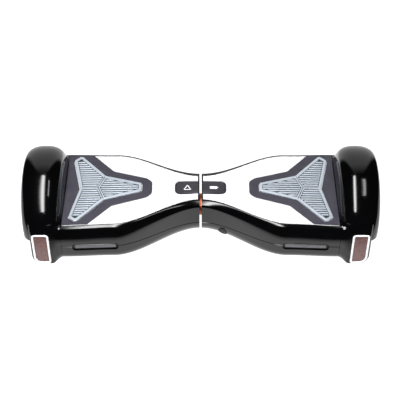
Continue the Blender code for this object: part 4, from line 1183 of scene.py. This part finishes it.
# ---- small pieces ----
def cross_screw(x, y):
    """Pan-head screw with a cross recess, seen from below; steps are (height, radius)."""
    low = BELLY_Z + 0.0002
    steps = [(0.0, 0.0030), (0.0003, 0.0035), (0.0007, 0.0037), (0.0013, 0.0037), (0.0013, 0.0020),
             (0.0098, 0.0020)]
    screw = mesh_object("screw", turned((x, y, low), (0, 0, 1), steps, SMALL_ROUND))
    for wide, deep in ((0.0022, 0.0005), (0.0005, 0.0022)):
        carve(screw, block((x - wide, x + wide), (y - deep, y + deep), (low - 0.001, low + 0.0009)))
    return settle(screw)


def pivot_sleeve():
    """Tube round the pivot shaft, with bevelled ends."""
    length = SLEEVE_HIGH.x
    bore = (SHAFT_HIGH.z - SHAFT_LOW.z) / 2 + CLEARANCE
    bevel = 0.0004
    section = [(-length, bore), (-length, SLEEVE_RADIUS - bevel), (-length + bevel, SLEEVE_RADIUS),
               (length - bevel, SLEEVE_RADIUS), (length, SLEEVE_RADIUS - bevel), (length, bore)]
    sleeve = mesh_object("pivot_sleeve_look", ring_around_x(lambda i: section, PIVOT_Z, WHEEL_ROUND))
    place(sleeve, "left_half", "bronze", "pivot_sleeve")


def charge_port():
    """Socket in the lower edge and its lid, which has a hinge barrel along its upper side."""
    point, axis = belly_corner_axis(-1)
    up = (Vector((0, 0, 1)) - axis * axis.z).normalized()
    level = up.cross(axis)
    hinge = point + up * (PORT_RADIUS + HINGE_GAP)
    lid = mesh_object("charge_cap_look", turned(point, axis, [
        (-0.0013, 0.0035), (-0.0013, PORT_RADIUS - 0.0010), (-0.0011, PORT_RADIUS - 0.0004),
        (-0.0006, PORT_RADIUS), (0.0004, PORT_RADIUS)]))
    barrel = [(0, 0.0008), (0.0003, 0.0011), (0.0077, 0.0011), (0.0080, 0.0008)]
    carve(lid, turned(hinge - level * 0.0040, level, barrel, 24), "UNION")
    place(settle(lid), "port_cap", "soft_black", "charge_cap")
    socket = mesh_object("charge_socket_look", turned(point, axis, [
        (0.0008, PORT_RADIUS - 0.0006), (0.0012, PORT_RADIUS), (0.0160, PORT_RADIUS)]))
    carve(socket, turned(point, axis, [(-0.004, 0.0058), (0.0110, 0.0058)]))
    place(settle(socket), "right_half", "soft_black", "charge_socket")


def power_button():
    """Domed metal button in the lower edge at the back."""
    steps = [(-0.0009, 0.0030), (-0.0012, BUTTON_RADIUS - 0.0012), (-0.0010, BUTTON_RADIUS - 0.0006),
             (-0.0006, BUTTON_RADIUS), (0.0070, BUTTON_RADIUS)]
    button = mesh_object("power_button_look", turned(*belly_corner_axis(1), steps))
    place(button, "button", "button_metal", "power_button")


def make_small_pieces():
    for i, (x, y) in enumerate(SCREW_PLACES):
        both_sides(cross_screw(x, y), f"shell_screw_{i + 1}", "steel")
    pivot_sleeve()
    charge_port()
    power_button()


def finish_inner_nodes():
    """Procedural materials for the CAD nodes that stay as they are."""
    slots = {part["node"]: part["material_slot"] for part in frame["record"]["subparts"]}
    for name, node in frame["nodes"].items():
        if slots.get(name) in FINISH:
            node.data.materials.clear()
            node.data.materials.append(FINISH[slots[name]])


# ---- studio ----
SHEET_HALF = 3.0
SHEET_GLOW = 1.05
TABLE_GLOW_SPAN = (-3.2, -3.0)      # depths between which a table's glow rises
MIRROR_GLOW_SPAN = (-0.205, -0.165)
MIRROR_BACK = 0.3
MIRROR_HEIGHT = -0.0005
BACKDROP_RISE = (0.22, 0.60)     # on the backward part of a direction
BACKDROP_FADE = (0.62, 0.82)     # on its sideways part over its backward part
BACKDROP_LEVEL = 0.85
DARK_LEVEL = 0.015
LIGHTS = (("tall_strip", (-0.24, -0.90, 1.63), (0.64, 2.82), 120),    # name, place, size, power
          ("right_strip", (0.74, -0.62, 2.05), (0.40, 1.3), 14))
LIGHT_AIM_Z = 0.1
CAMERA_X = -0.0010
CAMERA_DISTANCE = 1.653
CAMERA_ELEVATION = math.radians(47.0)
CAMERA_TILT = math.radians(0.746)    # further down than at the deck's middle
CAMERA_LENS = 88.47


def glowing_sheet(name, height, back, glow_span):
    """Pale sheet whose glow rises backwards over a span of depth that starts at its front edge."""
    front = glow_span[0]
    points = [(-SHEET_HALF, front, height), (SHEET_HALF, front, height),
              (SHEET_HALF, back, height), (-SHEET_HALF, back, height)]
    sheet = mesh_object(name, (points, [(0, 1, 2, 3)]))
    surface = Surface(name, Roughness=0.6, Emission_Color=(1.0, 1.0, 1.0, 1.0))
    surface.colour(surface.noise(2.0), [(0.3, 0.24), (0.7, 0.27)])
    depth = add_node(surface.tree, "ShaderNodeSeparateXYZ")
    surface.tree.links.new(surface.place, depth.inputs[0])
    glow = map_range(surface.tree, depth.outputs["Y"], glow_span, (0.0, SHEET_GLOW))
    surface.tree.links.new(glow, surface.shader.inputs["Emission Strength"])
    sheet.data.materials.append(surface.material)
    return sheet


def make_floor():
    """White table top, and a shorter one that only the gloss surfaces mirror."""
    table = glowing_sheet("floor", 0.0, SHEET_HALF, TABLE_GLOW_SPAN)
    table.visible_glossy = False
    mirrored_table = glowing_sheet("mirrored_floor", MIRROR_HEIGHT, MIRROR_BACK, MIRROR_GLOW_SPAN)
    mirrored_table.visible_camera = False
    mirrored_table.visible_diffuse = False


def make_world():
    """Dark studio with a bright backdrop behind the board, which fades out sideways."""
    world = bpy.data.worlds.new("studio")
    bpy.context.scene.world = world
    world.use_nodes = True
    tree = world.node_tree

    def calculate(operation, *values):
        node = add_node(tree, "ShaderNodeMath", operation=operation)
        for socket, value in zip(node.inputs, values):
            if isinstance(value, float):
                socket.default_value = value
            else:
                tree.links.new(value, socket)
        return node.outputs[0]

    way = add_node(tree, "ShaderNodeSeparateXYZ")
    tree.links.new(add_node(tree, "ShaderNodeTexCoord").outputs["Generated"], way.inputs[0])
    behind = map_range(tree, way.outputs["Y"], BACKDROP_RISE, (0.0, 1.0))
    sideways = calculate("DIVIDE", calculate("ABSOLUTE", way.outputs["X"]),
                         calculate("MAXIMUM", way.outputs["Y"], 0.001))
    backdrop = calculate("MULTIPLY", behind, map_range(tree, sideways, BACKDROP_FADE, (1.0, 0.0)))
    level = calculate("ADD", calculate("MULTIPLY", backdrop, BACKDROP_LEVEL), DARK_LEVEL)
    background = tree.nodes["Background"]
    background.inputs["Color"].default_value = (1.0, 1.0, 1.0, 1.0)
    tree.links.new(level, background.inputs["Strength"])


def area_light(name, place_at, size, power):
    """Softbox that fades towards its long edges and points straight back towards the board."""
    data = bpy.data.lights.new(name, "AREA")
    data.shape = "RECTANGLE"
    data.size, data.size_y = size
    data.energy = power
    data.use_nodes = True
    tree = data.node_tree
    across = add_node(tree, "ShaderNodeSeparateXYZ")
    tree.links.new(add_node(tree, "ShaderNodeNewGeometry").outputs["Parametric"], across.inputs[0])
    fade = add_ramp(tree, across.outputs["X"], ((0.0, 0.0), (0.5, 1.0), (1.0, 0.0)), "EASE")
    tree.links.new(fade, tree.nodes["Emission"].inputs["Strength"])
    light = add_object(name, data)
    light.location = place_at
    aim = Vector((place_at[0], 0, LIGHT_AIM_Z)) - Vector(place_at)
    light.rotation_euler = aim.to_track_quat("-Z", "Y").to_euler()


def make_camera():
    """Looks down at the headlight side from straight ahead."""
    data = bpy.data.cameras.new("camera")
    data.lens = CAMERA_LENS
    camera = add_object("camera", data)
    away, above = CAMERA_DISTANCE * math.cos(CAMERA_ELEVATION), CAMERA_DISTANCE * math.sin(CAMERA_ELEVATION)
    camera.location = (CAMERA_X, -away, DECK_Z + above)
    camera.rotation_euler = (math.pi / 2 - CAMERA_ELEVATION - CAMERA_TILT, 0, 0)
    bpy.context.scene.camera = camera


def make_studio():
    make_floor()
    make_world()
    for strip in LIGHTS:
        area_light(*strip)
    make_camera()
    bpy.context.scene.view_settings.view_transform = "Standard"


make_shells()
make_lamps()
make_deck()
make_wheels()
make_small_pieces()
finish_inner_nodes()
make_studio()
